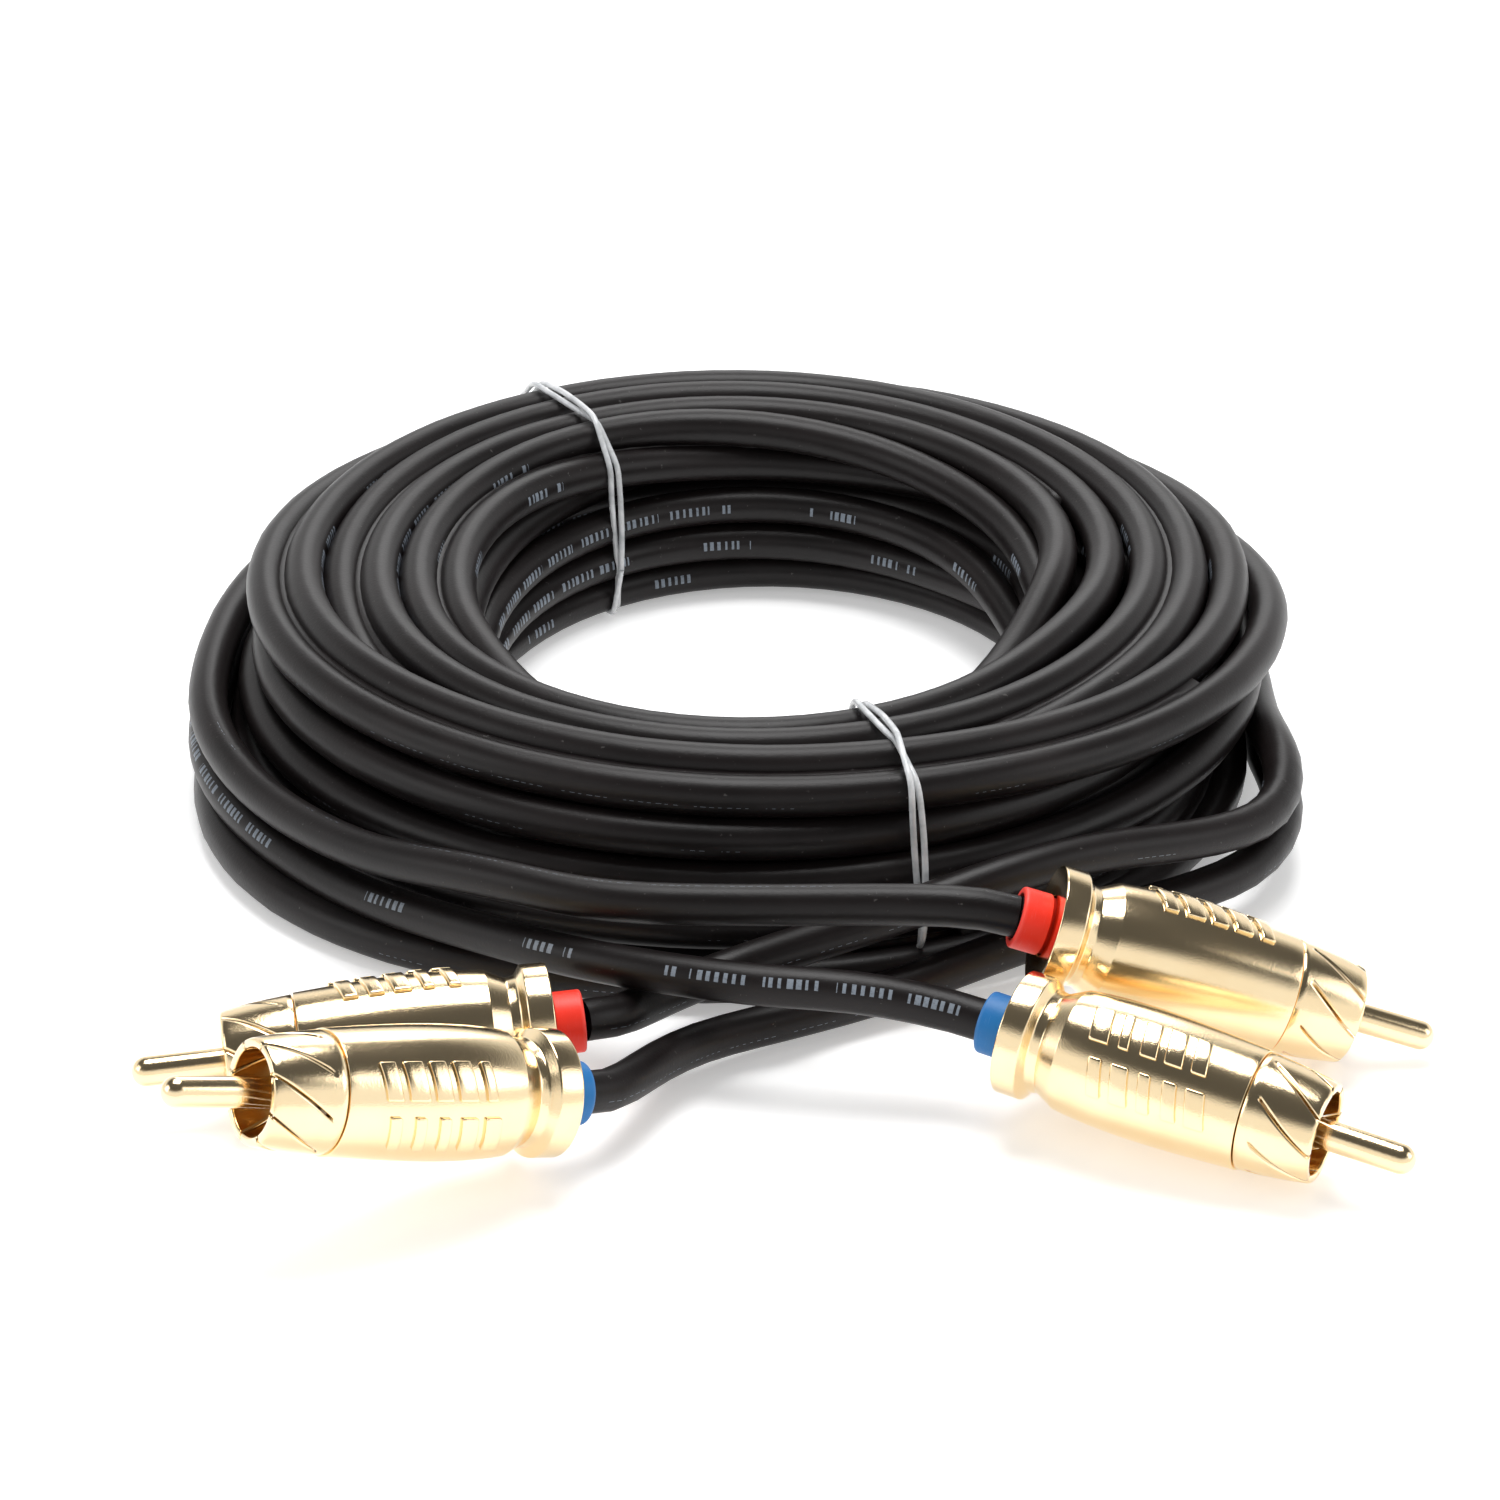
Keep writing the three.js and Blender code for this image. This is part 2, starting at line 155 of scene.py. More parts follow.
# The coil's section at some angles about its centre, as (radius, height) in millimetres for each lane.
# Lane 0 is the innermost one on the floor, and the lanes go to and fro up to the top layer.
# The last two lanes lie against the outer wall, where the cable leaves the coil.
LANES = {
    0: [
        (30, 2.4), (33.2, 2.4), (39, 2.4), (45, 2.4), (52, 2.4),
        (53.6, 6.9), (47.6, 7), (42, 7), (36, 7), (30.4, 7),
        (28.6, 11.6), (36.2, 11.6), (44, 11.6), (53.4, 11.6),
        (58, 12.4), (49.6, 16), (28.8, 16.2),
        (33, 19.2), (40.8, 20.2), (45.6, 20.5), (50, 20.2), (54.7, 19.4), (59.4, 16.8), (61.6, 12.4),
    ],
    50: [
        (36, 2.4), (38.4, 2.4), (42, 2.4), (47.6, 2.4), (53, 2.4),
        (57, 6.9), (52.4, 7), (48, 7), (43.6, 7), (38.8, 7),
        (38.6, 11.6), (43.6, 11.6), (49, 11.6), (55, 11.5),
        (58.6, 15.4), (52.4, 16.2), (42.2, 16.2),
        (39.6, 18.6), (44.2, 21), (48.9, 21.4), (53.6, 21.2), (58, 20.4), (62.6, 16.4), (63.4, 11),
    ],
    90: [
        (41, 2.4), (43, 2.4), (46.8, 2.4), (51.2, 2.4), (55.4, 2.6),
        (62, 7), (58.6, 7.1), (54.8, 7.1), (51, 7.1), (47.2, 7.1),
        (47.4, 11.9), (51.8, 11.9), (56.2, 11.9), (60.6, 11.9),
        (60.6, 16.6), (54, 16.8), (47.6, 16.7),
        (47.2, 21.5), (51.4, 22.2), (55.8, 22.2), (60.4, 22), (65, 17.4), (66, 12.6), (66, 7.9),
    ],
    130: [
        (36, 2.4), (39, 2.4), (40.6, 2.4), (46.4, 2.4), (57.4, 5.2),
        (61, 8.4), (54.4, 7.6), (49.6, 7), (45, 7), (40.2, 7.1),
        (40.2, 11.8), (46, 11.8), (52, 11.8), (58.4, 11.7),
        (58, 16.4), (40.8, 16.5),
        (42.4, 20.9), (46.4, 21.8), (50.8, 22), (55.2, 22), (59.4, 21.4), (62, 17.4), (64.4, 13), (64.6, 8.2),
    ],
    155: [
        (36, 2.4), (36, 2.4), (34.6, 2.4), (41.6, 2.4), (61.6, 2.8),
        (60.6, 7.4), (54.2, 7), (48, 7), (41.6, 7), (34.4, 7),
        (33.8, 11.6), (41.4, 11.6), (49.6, 11.6), (58.4, 11.6),
        (57.2, 16.2), (34.4, 16.2),
        (37, 20.4), (41.6, 21.4), (46.4, 21.7), (51.2, 21.8), (56, 21.6), (60.4, 20.2),
        (64.2, 12.6), (64.4, 7.6),
    ],
    180: [
        (36, 2.4), (36, 2.4), (33, 2.4), (40, 2.6), (62.8, 2.4),
        (62.2, 7), (55, 7.2), (47.4, 7.2), (39.6, 7), (33, 7),
        (32.8, 11.4), (40, 11.4), (49.6, 11.6), (61.2, 11.6),
        (59.2, 16), (33.4, 15.8),
        (35.8, 20.2), (39.8, 20.9), (44.6, 21.2), (49.5, 21.4), (54.5, 21.2), (59.3, 20.6),
        (65.6, 12.4), (65.8, 7.4),
    ],
    203: [
        (45.5, 2.4), (51.8, 2.4), (40.4, 6.4), (47.6, 7.1), (68, 2.4),
        (64.8, 7), (57.4, 9.6), (53, 12), (44.6, 11.6), (36.6, 4.8),
        (35, 9.6), (39.4, 12.6), (50.4, 16), (63.2, 11.2),
        (61, 16.3), (34.6, 14.6),
        (37.4, 18.9), (41, 21.2), (45.2, 21.8), (50, 20.6), (53.9, 22.2), (58.6, 21), (68, 12), (68.4, 7),
    ],
    232: [
        (41, 2.4), (47.4, 2.4), (54, 2.4), (61, 2.4), (71, 2.4),
        (65.2, 6.6), (58.5, 7.2), (52.5, 7.2), (46.5, 7.2), (41, 7.2),
        (40.6, 12), (46.8, 12), (53.4, 12), (62.6, 11.2),
        (60.8, 16.6), (46.8, 16.6),
        (42.2, 16.2), (44.4, 20.6), (49.2, 22), (53.4, 17), (53.6, 22.4), (58, 21.2), (68, 14), (69, 10),
    ],
    270: [
        (43.5, 2.4), (48.8, 2.4), (54.6, 2.4), (61, 2.4), (67.6, 2.4),
        (62.6, 7.2), (57, 7.2), (52.5, 7.2), (48, 7.2), (44, 7.2),
        (44.8, 12), (49.6, 12), (54.8, 12), (60.8, 12),
        (60.8, 16.8), (50.2, 16.7),
        (45.4, 16.1), (45.8, 20.6), (49.8, 22), (55.4, 17.2), (54, 22.4), (58.2, 21.1), (62.5, 19), (65, 15),
    ],
    310: [
        (39.6, 2.4), (46, 2.4), (52, 2.4), (58, 2.4), (63.6, 2.4),
        (62.8, 7), (56.4, 7), (50, 7), (44.6, 7), (39.2, 7),
        (39.2, 11.6), (45.8, 11.6), (53, 11.6), (61.4, 11.8),
        (59.8, 16.6), (48, 16.4), (34.8, 15.4),
        (37, 19.6), (44, 20.9), (49.4, 21.4), (54.2, 21.3), (58.6, 20.2), (62.4, 17), (64, 12.8),
    ],
    332: [
        (34.4, 2.4), (39.6, 2.4), (45.8, 2.4), (52.6, 2.4), (63.4, 2.4),
        (64, 7), (55.6, 7), (47.6, 7), (41, 7), (34, 7),
        (32, 11.6), (40.2, 11.6), (48.8, 11.6), (63, 11.6),
        (59.2, 15.8), (48, 16.2), (28.4, 15.6),
        (30.4, 19), (39.8, 20.5), (46, 21), (51.6, 20.9), (56.8, 20), (62.2, 17.4), (63.8, 12.6),
    ],
}

# The first turn lies outside the others on the floor, and then goes in under them: (angle, radius, height)
WAY_IN = {
    "red": [
        (-23.6, 65.2, 12), (-16, 61.2, 9.2), (-8, 58.6, 7.6), (6, 57.6, 7), (40, 60.6, 6.6), (70, 60.4, 3.8),
        (95, 59.8, 2.4), (130, 54.4, 2.4), (155, 52, 2.4), (175, 50, 2.4), (200, 44.6, 2.4),
        (215, 42, 2.4), (232, 41, 2.4),
    ],
    "blue": [
        (-23.2, 65.4, 7.2), (-16, 62, 4.4), (-8, 59.6, 2.9), (6, 58.6, 2.4), (40, 62.6, 2.4), (70, 64.6, 2.4),
        (95, 64.6, 2.4), (130, 60.6, 2.4), (155, 57, 2.4), (175, 55, 2.4), (200, 50, 2.4),
        (215, 47.8, 2.4), (232, 47.4, 2.4),
    ],
}
TURNS = 11
WAY_OUT_ANGLE = 190
SAMPLES = 72

# A strand changes to the next pair of lanes between these angles of each turn
SHIFT_FROM = -78
SHIFT_TO = 78
LANE_SMOOTHING = 6

# How the strands settle: each step pushes overlaps apart, evens the strands out and pulls them to their lanes
SETTLE_STEPS = 240
SETTLE_PUSH = 0.42
SETTLE_EVENING = 0.22
SETTLE_PULL = 0.03
SETTLE_PULL_LOSS = 0.018
SETTLE_GAP = 0.06
HELD_ROWS = 3

# The ties' angles. They go round the strands within this radius, and not round those further out.
TIE_ANGLES = {"back_tie": 118.5, "front_tie": 285.5}
HELD_RADIUS = 63.4
HULL_SIDES = 20
TIE_STEPS = 260
TIE_SPREAD = 0.6

# The web between the strands, in strand diameters
WEB_REACH = 1.12
WEB_HALF_HEIGHT = 0.21
WEB_HALF_WIDTH = 0.24

# On the single leads a strand is thinner by this share, and it thins over a stretch of the route
LEAD_THINNING = 0.035
THIN_UNTIL = 70 * MM
THINNING_LENGTH = 80 * MM


def setting(group):
    """One of the scene's groups of settings."""
    return getattr(bpy.context.scene, group)


class Value:
    """A number socket that adds a Math node for each step of an expression."""

    def __init__(self, nodes, socket):
        self.nodes = nodes
        self.socket = socket

    def math(self, operation, *values):
        return self.nodes.value("ShaderNodeMath", {"operation": operation}, values)

    def __add__(self, other):
        return self.math("ADD", self, other)

    def __sub__(self, other):
        return self.math("SUBTRACT", self, other)

    def __rsub__(self, other):
        return self.math("SUBTRACT", other, self)

    def __mul__(self, other):
        return self.math("MULTIPLY", self, other)

    def __truediv__(self, other):
        return self.math("DIVIDE", self, other)

    def __gt__(self, other):
        return self.math("GREATER_THAN", self, other)

    def __lt__(self, other):
        return self.math("LESS_THAN", self, other)

    __radd__ = __add__
    __rmul__ = __mul__

    def fraction(self):
        return self.math("FRACT", self)

    def floor(self):
        return self.math("FLOOR", self)

    def clamp(self):
        return self.nodes.value("ShaderNodeClamp", {}, [self])

    def ramp(self, low, high):
        """0 at low and 1 at high, straight between them."""
        return ((self - low) / (high - low)).clamp()


class Nodes:
    """Adds nodes to a tree, one call for each."""

    def __init__(self, tree):
        self.tree = tree

    def feed(self, socket, source):
        """Sets a socket to a constant, or links it to the socket or value given."""
        if isinstance(source, Value):
            source = source.socket
        if isinstance(source, bpy.types.NodeSocket):
            self.tree.links.new(source, socket)
        else:
            socket.default_value = source

    def node(self, kind, options=None, inputs=None):
        """One node: its options first, and then the values or links of its sockets."""
        made = self.tree.nodes.new(kind)
        for name, option in (options or {}).items():
            setattr(made, name, option)
        pairs = inputs.items() if isinstance(inputs, dict) else enumerate(inputs or [])
        for socket, source in pairs:
            self.feed(made.inputs[socket], source)
        return made

    def value(self, kind, options=None, inputs=None, output=0):
        """One node, with the socket of its result as a value for expressions."""
        return Value(self, self.node(kind, options, inputs).outputs[output])


class Shader(Nodes):
    """A material's nodes, with a Principled surface."""

    def __init__(self, name, **constants):
        self.material = bpy.data.materials.new(name)
        self.material.use_nodes = True
        super().__init__(self.material.node_tree)
        self.surface = self.tree.nodes["Principled BSDF"]
        labels = {socket.name.lower().replace(" ", "_"): socket for socket in self.surface.inputs}
        for label, constant in constants.items():
            labels[label].default_value = constant

    def attribute(self, name):
        """The three parts of a vector that a mesh keeps under a name."""
        source = self.node("ShaderNodeAttribute", {"attribute_name": name})
        parts = self.node("ShaderNodeSeparateXYZ", {}, [source.outputs["Vector"]])
        return [Value(self, part) for part in parts.outputs]

    def object_place(self):
        return self.node("ShaderNodeTexCoord").outputs["Object"]

    def joined(self, x, y, z):
        return self.node("ShaderNodeCombineXYZ", {}, [x, y, z]).outputs["Vector"]

    def noise(self, vector, scale, detail=3, roughness=0.5):
        inputs = {"Vector": vector, "Scale": scale, "Detail": detail, "Roughness": roughness}
        return self.value("ShaderNodeTexNoise", {}, inputs)

    def mixed(self, factor, first, second):
        """A colour between two others."""
        made = self.node("ShaderNodeMix", {"data_type": "RGBA"})
        self.feed(made.inputs[0], factor)
        self.feed(made.inputs[6], first)
        self.feed(made.inputs[7], second)
        return made.outputs[2]

    def paint(self, **channels):
        """Links what varies over the surface to the Principled shader."""
        for channel, source in channels.items():
            self.feed(self.surface.inputs[channel.replace("_", " ").title()], source)

    def bump(self, height, distance, strength=1.0):
        made = self.node("ShaderNodeBump", {}, {"Height": height, "Distance": distance, "Strength": strength})
        self.feed(self.surface.inputs["Normal"], made.outputs["Normal"])


def colour(red, green, blue):
    """A colour with full alpha."""
    return (red, green, blue, 1)


def jacket_material(print_marks):
    """Soft black PVC with a faint grain, dust and long flow lines; print_marks adds a printed line."""
    cable = setting("cable_settings")
    name = "printed jacket" if print_marks else "plain jacket"
    shader = Shader(name, specular_ior_level=0.24)
    place = shader.object_place()
    black = colour(*cable.jacket_colour)
    grey = colour(*[2.2 * part for part in cable.jacket_colour])
    cloud = shader.noise(place, 60, 4, 0.6)
    grain = shader.noise(place, 2600, 3, 0.6)
    dust = shader.noise(place, 1300, 2, 0.7).ramp(0.7, 0.76)
    base = shader.mixed(cloud.ramp(0.35, 0.75), black, grey)
    base = shader.mixed(dust * 0.4, base, colour(*cable.dust_colour))
    height = grain
    roughness = 0.33 + cloud * 0.12 + dust * 0.12
    if print_marks:
        along, turn, _ = shader.attribute("lie")
        flow = shader.noise(shader.joined(along * 0.12, turn * 1.4, 0), 1.6, 2, 0.5)
        ink = printed_line(shader, along, turn)
        base = shader.mixed(ink, base, colour(*cable.print_colour))
        height = grain * (1 - ink * 0.6) + flow * 0.8
        roughness = roughness + ink * 0.06
    shader.paint(base_color=base, roughness=roughness)
    shader.bump(height, 0.00004, 0.5)
    return shader.material


def printed_line(shader, along, turn):
    """How much pale ink lies at a place: plain bars in groups, along the line where turn is 0."""
    cable = setting("cable_settings")
    cell = along / (cable.bar_pitch / MM)
    inside = cell.fraction()
    order = shader.value("ShaderNodeTexWhiteNoise", {"noise_dimensions": "1D"}, {"W": cell.floor()})
    group = (cell / 7).floor() + 0.5
    word = shader.value("ShaderNodeTexWhiteNoise", {"noise_dimensions": "1D"}, {"W": group})
    block = (along / (cable.print_repeat / MM)).fraction()
    number = (along / (cable.print_repeat / MM)).floor()
    chance = shader.value("ShaderNodeTexWhiteNoise", {"noise_dimensions": "1D"}, {"W": number + 0.25})
    shown = (block < 0.46) * (chance > 0.45)
    shown = shown + (block > 0.62) * (block < 0.69) + (block > 0.84) * (block < 0.9)
    bar = (inside > 0.1) * (inside < 0.4 + order * 0.4) * ((cell / 8).fraction() > 0.14 + word * 0.1)
    band = (turn > -0.24) * (turn < 0.24)
    wear = shader.noise(shader.joined(along, turn * 3, 0), 2.5, 3, 0.7).ramp(0.25, 0.5)
    return shown * bar * band * (0.5 + wear * 0.5)


def gold_material():
    """Bright gold plate over a finely blasted surface, with a painted orange glow of reflected light inside
    the bore.
    """
    plug = setting("plug_settings")
    shader = Shader("gold plate", metallic=1.0)
    place = shader.object_place()
    _, station, radius = shader.attribute("lathe")
    haze = shader.noise(place, 140, 4, 0.6)
    blast = shader.noise(place, 5200, 3, 0.6)
    lines = shader.noise(shader.joined(station, radius, 0), 7, 2, 0.5)
    # Painted reflection: the bore's inner surfaces get an orange colour that stands in for light bounced
    # about inside the gold
    inside = (radius > PIN_RADIUS + 0.3) * (radius < BORE_RADIUS + 0.05) * (station < RIM - 0.1)
    pale = colour(*plug.gold_colour)
    deep = colour(*plug.gold_shade)
    base = shader.mixed(haze.ramp(0.35, 0.8) * 0.4, pale, deep)
    base = shader.mixed(inside, base, colour(*plug.gold_bore_glow))
    shader.paint(base_color=base, roughness=0.09 + haze * 0.08 + blast * 0.05)
    shader.bump(lines * 0.3 + blast, plug.blast_depth, 0.6)
    return shader.material


def ring_material(name, tone):
    """Satin moulded plastic with a fine grain and slightly paler, scuffed edges."""
    shader = Shader(name, specular_ior_level=0.35)
    place = shader.object_place()
    turn, station, _ = shader.attribute("lathe")
    cloud = shader.noise(place, 260, 3, 0.6)
    grain = shader.noise(place, 3400, 2, 0.5)
    scuff = shader.noise(shader.joined(station * 5, turn * 0.8, 0), 2, 3, 0.6).ramp(0.6, 0.68)
    edge = station.ramp(0.5, 0.15) * 0.2 + cloud.ramp(0.62, 0.8) * 0.12 + scuff * 0.18
    full = colour(*tone)
    pale = colour(*[part + 0.18 * (1 - part) for part in tone])
    shader.paint(base_color=shader.mixed(edge, full, pale), roughness=0.36 + cloud * 0.16)
    shader.bump(grain, 0.00003, 0.35)
    return shader.material


def clear_material():
    """Clear glossy film of the ties, slightly milky where it is folded."""
    shader = Shader("clear film", transmission_weight=0.35, ior=1.45, specular_ior_level=0.9)
    place = shader.object_place()
    milk = shader.noise(place, 420, 3, 0.6)
    base = shader.mixed(milk.ramp(0.35, 0.7), colour(0.95, 0.96, 0.97), colour(0.6, 0.62, 0.64))
    shader.paint(base_color=base, roughness=0.1 + milk * 0.14)
    shader.bump(milk, 0.00006, 0.4)
    return shader.material


def moulded_material(name, tone, roughness, metallic=0.0):
    """A plain inner finish with a fine grain and a slow change of tone."""
    shader = Shader(name, metallic=metallic)
    place = shader.object_place()
    cloud = shader.noise(place, 320, 3, 0.6)
    grain = shader.noise(place, 2400, 2, 0.5)
    full = colour(*tone)
    dark = colour(*[0.72 * part for part in tone])
    base = shader.mixed(cloud.ramp(0.4, 0.8), full, dark)
    shader.paint(base_color=base, roughness=roughness + grain * 0.12)
    shader.bump(grain, 0.00003, 0.4)
    return shader.material


MATERIALS = {}


def material(name):
    """A material by name, made the first time it is asked for."""
    plug = setting("plug_settings")
    makers = {
        "printed jacket": lambda: jacket_material(True),
        "plain jacket": lambda: jacket_material(False),
        "gold": gold_material,
        "red": lambda: ring_material("red plastic", plug.red_colour),
        "blue": lambda: ring_material("blue plastic", plug.blue_colour),
        "clear": clear_material,
        "insulator": lambda: moulded_material("white plastic", (0.72, 0.7, 0.64), 0.42),
        "floor": floor_material,
        "copper": lambda: moulded_material("tinned copper", (0.62, 0.4, 0.27), 0.3, 1.0),
    }
    if name not in MATERIALS:
        MATERIALS[name] = makers[name]()
    return MATERIALS[name]


def dress(piece, nodes):
    """Ties a finished piece to the frame, in place of the CAD nodes named."""
    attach(piece, "root")
    if nodes:
        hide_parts(*nodes)
    return piece


def new_object(name, data):
    made = bpy.data.objects.new(name, data)
    bpy.context.scene.collection.objects.link(made)
    return made


def mesh_object(name, vertices, faces, material_name, attribute=None):
    """A smooth mesh with one material, and one vector for each vertex kept as an attribute."""
    mesh = bpy.data.meshes.new(name)
    mesh.from_pydata([tuple(v) for v in vertices], [], [tuple(f) for f in faces])
    if attribute:
        label, rows = attribute
        layer = mesh.attributes.new(label, "FLOAT_VECTOR", "POINT")
        layer.data.foreach_set("vector", np.asarray(rows, dtype=np.float32).ravel())
    mesh.materials.append(material(material_name))
    mesh.polygons.foreach_set("use_smooth", [True] * len(mesh.polygons))
    mesh.update()
    return new_object(name, mesh)


def place_at(place, unit):
    """The point at a place round the coil, whose distance out and height are in the given unit."""
    angle, out, up = place
    turn = math.radians(angle)
    radius = COIL_REACH + out * unit
    return COIL_CENTRE + Vector((radius * math.cos(turn), radius * math.sin(turn), up * unit))


def plug_matrix(plug):
    """The matrix that lays a plug, modelled along +Y, in its place."""
    end = place_at(plug["cable_end"], PLACE_UNIT)
    heading = Matrix.Rotation(math.radians(plug["heading"] - 90), 4, "Z")
    tilt = Matrix.Rotation(math.radians(plug["tilt"]), 4, "X")
    return Matrix.Translation(end) @ heading @ tilt


def between(t, start, end, a, b):
    """The point a share of the way from a to b, as t runs from start to end."""
    return ((end - t) * a + (t - start) * b) / (end - start)


def catmull_rom(points, step):
    """Points about a step apart on the centripetal curve through the points given."""
    points = np.asarray(points, dtype=float)
    points = np.vstack([2 * points[0] - points[1], points, 2 * points[-1] - points[-2]])
    out = []
    for i in range(1, len(points) - 2):
        p = points[i - 1:i + 3]
        k = np.concatenate([[0], np.cumsum(np.sqrt(np.linalg.norm(np.diff(p, axis=0), axis=1)))])
        count = max(2, math.ceil(np.linalg.norm(p[2] - p[1]) / step))
        for t in np.linspace(k[1], k[2], count, endpoint=False):
            lines = [between(t, k[j], k[j + 1], p[j], p[j + 1]) for j in range(3)]
            bends = [between(t, k[j], k[j + 2], lines[j], lines[j + 1]) for j in range(2)]
            out.append(between(t, k[1], k[2], bends[0], bends[1]))
    out.append(points[-2])
    return np.array(out)


def smooth_step(x):
    x = np.clip(x, 0, 1)
    return x * x * (3 - 2 * x)


def lane_sections():
    """The lane tables round the coil at every sample angle: an array of (angle, lane, radius or height)."""
    angles = sorted(LANES)
    tables = [np.array(LANES[angle], dtype=float) for angle in angles]
    sections = []
    for sample in range(SAMPLES):
        angle = 360 * sample / SAMPLES
        after = next((i for i, a in enumerate(angles) if a > angle), 0)
        before = after - 1
        start = angles[before]
        span = (angles[after] - start) % 360
        share = ((angle - start) % 360) / span
        sections.append((1 - share) * tables[before] + share * tables[after])
    sections = np.array(sections)
    for _ in range(LANE_SMOOTHING):
        sections += 0.25 * (np.roll(sections, 1, axis=0) + np.roll(sections, -1, axis=0) - 2 * sections)
    return sections


def lane_number(angle, second):
    """The lane of a strand at an angle counted from the first turn, with a part for a change of lanes."""
    turn = math.floor((angle - SHIFT_FROM) / 360)
    share = smooth_step((angle - 360 * turn - SHIFT_FROM) / (SHIFT_TO - SHIFT_FROM))
    return 2 * (turn - 1 + share) + second


def coil_targets(channel):
    """The wanted radius and height of one strand at each sample, from the way in to the way out."""
    second = 1 if channel == "blue" else 0
    sections = lane_sections()
    way = np.array(WAY_IN[channel], dtype=float)
    first = math.ceil(way[0, 0] / 360 * SAMPLES)
    last = int((WAY_OUT_ANGLE + 360 * TURNS) / 360 * SAMPLES)
    rows = []
    for index in range(first, last + 1):
        angle = 360 * index / SAMPLES
        if angle < way[-1, 0]:
            radius, height = [np.interp(angle, way[:, 0], way[:, column]) for column in (1, 2)]
            rows.append((index, radius, height))
            continue
        lane = lane_number(angle, second)
        low = max(0, min(int(math.floor(lane)), sections.shape[1] - 2))
        share = lane - low
        section = sections[index % SAMPLES]
        radius, height = (1 - share) * section[low] + share * section[low + 1]
        rows.append((index, radius, height))
    return np.array(rows)


def lead_rows(name):
    """The part of a lead that runs beside the coil, as rows of sample number, radius and height."""
    points = (lead_points(PLUGS[name]) - np.array(COIL_CENTRE)) / MM
    angle = np.degrees(np.arctan2(points[:, 1], points[:, 0])) % 360
    order = np.argsort(angle)
    radius = np.hypot(points[:, 0], points[:, 1])
    samples = np.arange(math.ceil(angle.min() / 360 * SAMPLES), int(angle.max() / 360 * SAMPLES) + 1)
    places = samples * 360 / SAMPLES
    columns = [np.interp(places, angle[order], row[order]) for row in (radius, points[:, 2])]
    return np.column_stack([samples, *columns])


def settle(strands, fixed, diameter):
    """Pushes the strands apart where they overlap in the coil's section, and evens them out along it."""
    lines = [*strands, *fixed]
    index = np.concatenate([rows[:, 0] for rows in lines]).astype(int)
    wanted = np.concatenate([rows[:, 1:] for rows in lines])
    breaks = np.cumsum([len(rows) for rows in lines])
    place = wanted.copy()
    groups = [np.flatnonzero(index % SAMPLES == sample) for sample in range(SAMPLES)]
    width = max(len(group) for group in groups)
    table = np.array([np.pad(group, (0, width - len(group)), constant_values=-1) for group in groups])
    present = table >= 0
    both = present[:, :, None] & present[:, None, :] & ~np.eye(width, dtype=bool)
    still = np.zeros((len(index), 1), dtype=bool)
    still[breaks[len(strands) - 1]:] = True
    for start, stop in zip([0, *breaks[:-1]], breaks):
        still[start:start + HELD_ROWS] = True
        still[stop - HELD_ROWS:stop] = True
    for step in range(SETTLE_STEPS):
        pull = SETTLE_PULL - SETTLE_PULL_LOSS * step / SETTLE_STEPS
        held = place[table]
        apart = held[:, :, None, :] - held[:, None, :, :]
        distance = np.maximum(np.linalg.norm(apart, axis=-1), 1e-6)
        overlap = np.where(both, np.maximum(0, diameter - distance), 0)
        push = (apart / distance[..., None] * overlap[..., None] * SETTLE_PUSH).sum(axis=2)
        moved = np.zeros_like(place)
        moved[table[present]] = push[present]
        place += np.where(still, 0, moved)
        even = np.zeros_like(place)
        even[1:-1] = place[:-2] + place[2:] - 2 * place[1:-1]
        place += np.where(still, 0, SETTLE_EVENING * even + pull * (wanted - place))
        place[:, 1] = np.maximum(place[:, 1], diameter / 2)
    parts = np.split(place, breaks[:-1])
    return [np.column_stack([rows[:, 0], part]) for rows, part in zip(strands, parts)]


def coil_points(rows):
    """Points in the row frame from rows of sample number, radius and height in millimetres."""
    turn = rows[:, 0] * 2 * math.pi / SAMPLES
    x = COIL_CENTRE.x + rows[:, 1] * MM * np.cos(turn)
    y = COIL_CENTRE.y + rows[:, 1] * MM * np.sin(turn)
    return np.column_stack([x, y, rows[:, 2] * MM])


def lead_points(plug):
    """The route of a lead from the coil to its plug."""
    matrix = plug_matrix(plug)
    axis = matrix.to_3x3() @ Vector((0, 1, 0))
    end = matrix.translation
    points = [place_at(place, ROUTE_UNIT) for place in plug["route"]]
    points.append(end - axis * STRAIGHT_LEAD)
    points.append(end)
    return catmull_rom([tuple(point) for point in points], 3 * MM)


def even_route(points, step):
    """The same route with its points evenly spaced, and any corner where two parts join eased."""
    for _ in range(4):
        points[1:-1] += 0.2 * (points[:-2] + points[2:] - 2 * points[1:-1])
    along = np.concatenate([[0], np.cumsum(np.linalg.norm(np.diff(points, axis=0), axis=1))])
    places = np.linspace(0, along[-1], int(along[-1] / step) + 1)
    return np.column_stack([np.interp(places, along, points[:, axis]) for axis in range(3)]), along[-1]


def new_tree(name, kinds):
    """The nodes of a new geometry tree with inputs of the kinds named, and the sockets of those inputs."""
    tree = bpy.data.node_groups.new(name, "GeometryNodeTree")
    for label, kind in kinds.items():
        tree.interface.new_socket(label, in_out="INPUT", socket_type=f"NodeSocket{kind}")
    tree.interface.new_socket("Geometry", in_out="OUTPUT", socket_type="NodeSocketGeometry")
    nodes = Nodes(tree)
    return nodes, nodes.node("NodeGroupInput").outputs


def finished_tree(nodes, geometry, finish):
    """The tree, whose result is the geometry with its material."""
    dressed = nodes.node("GeometryNodeSetMaterial", {}, {"Geometry": geometry, "Material": finish})
    nodes.feed(nodes.node("NodeGroupOutput").inputs["Geometry"], dressed.outputs["Geometry"])
    return nodes.tree


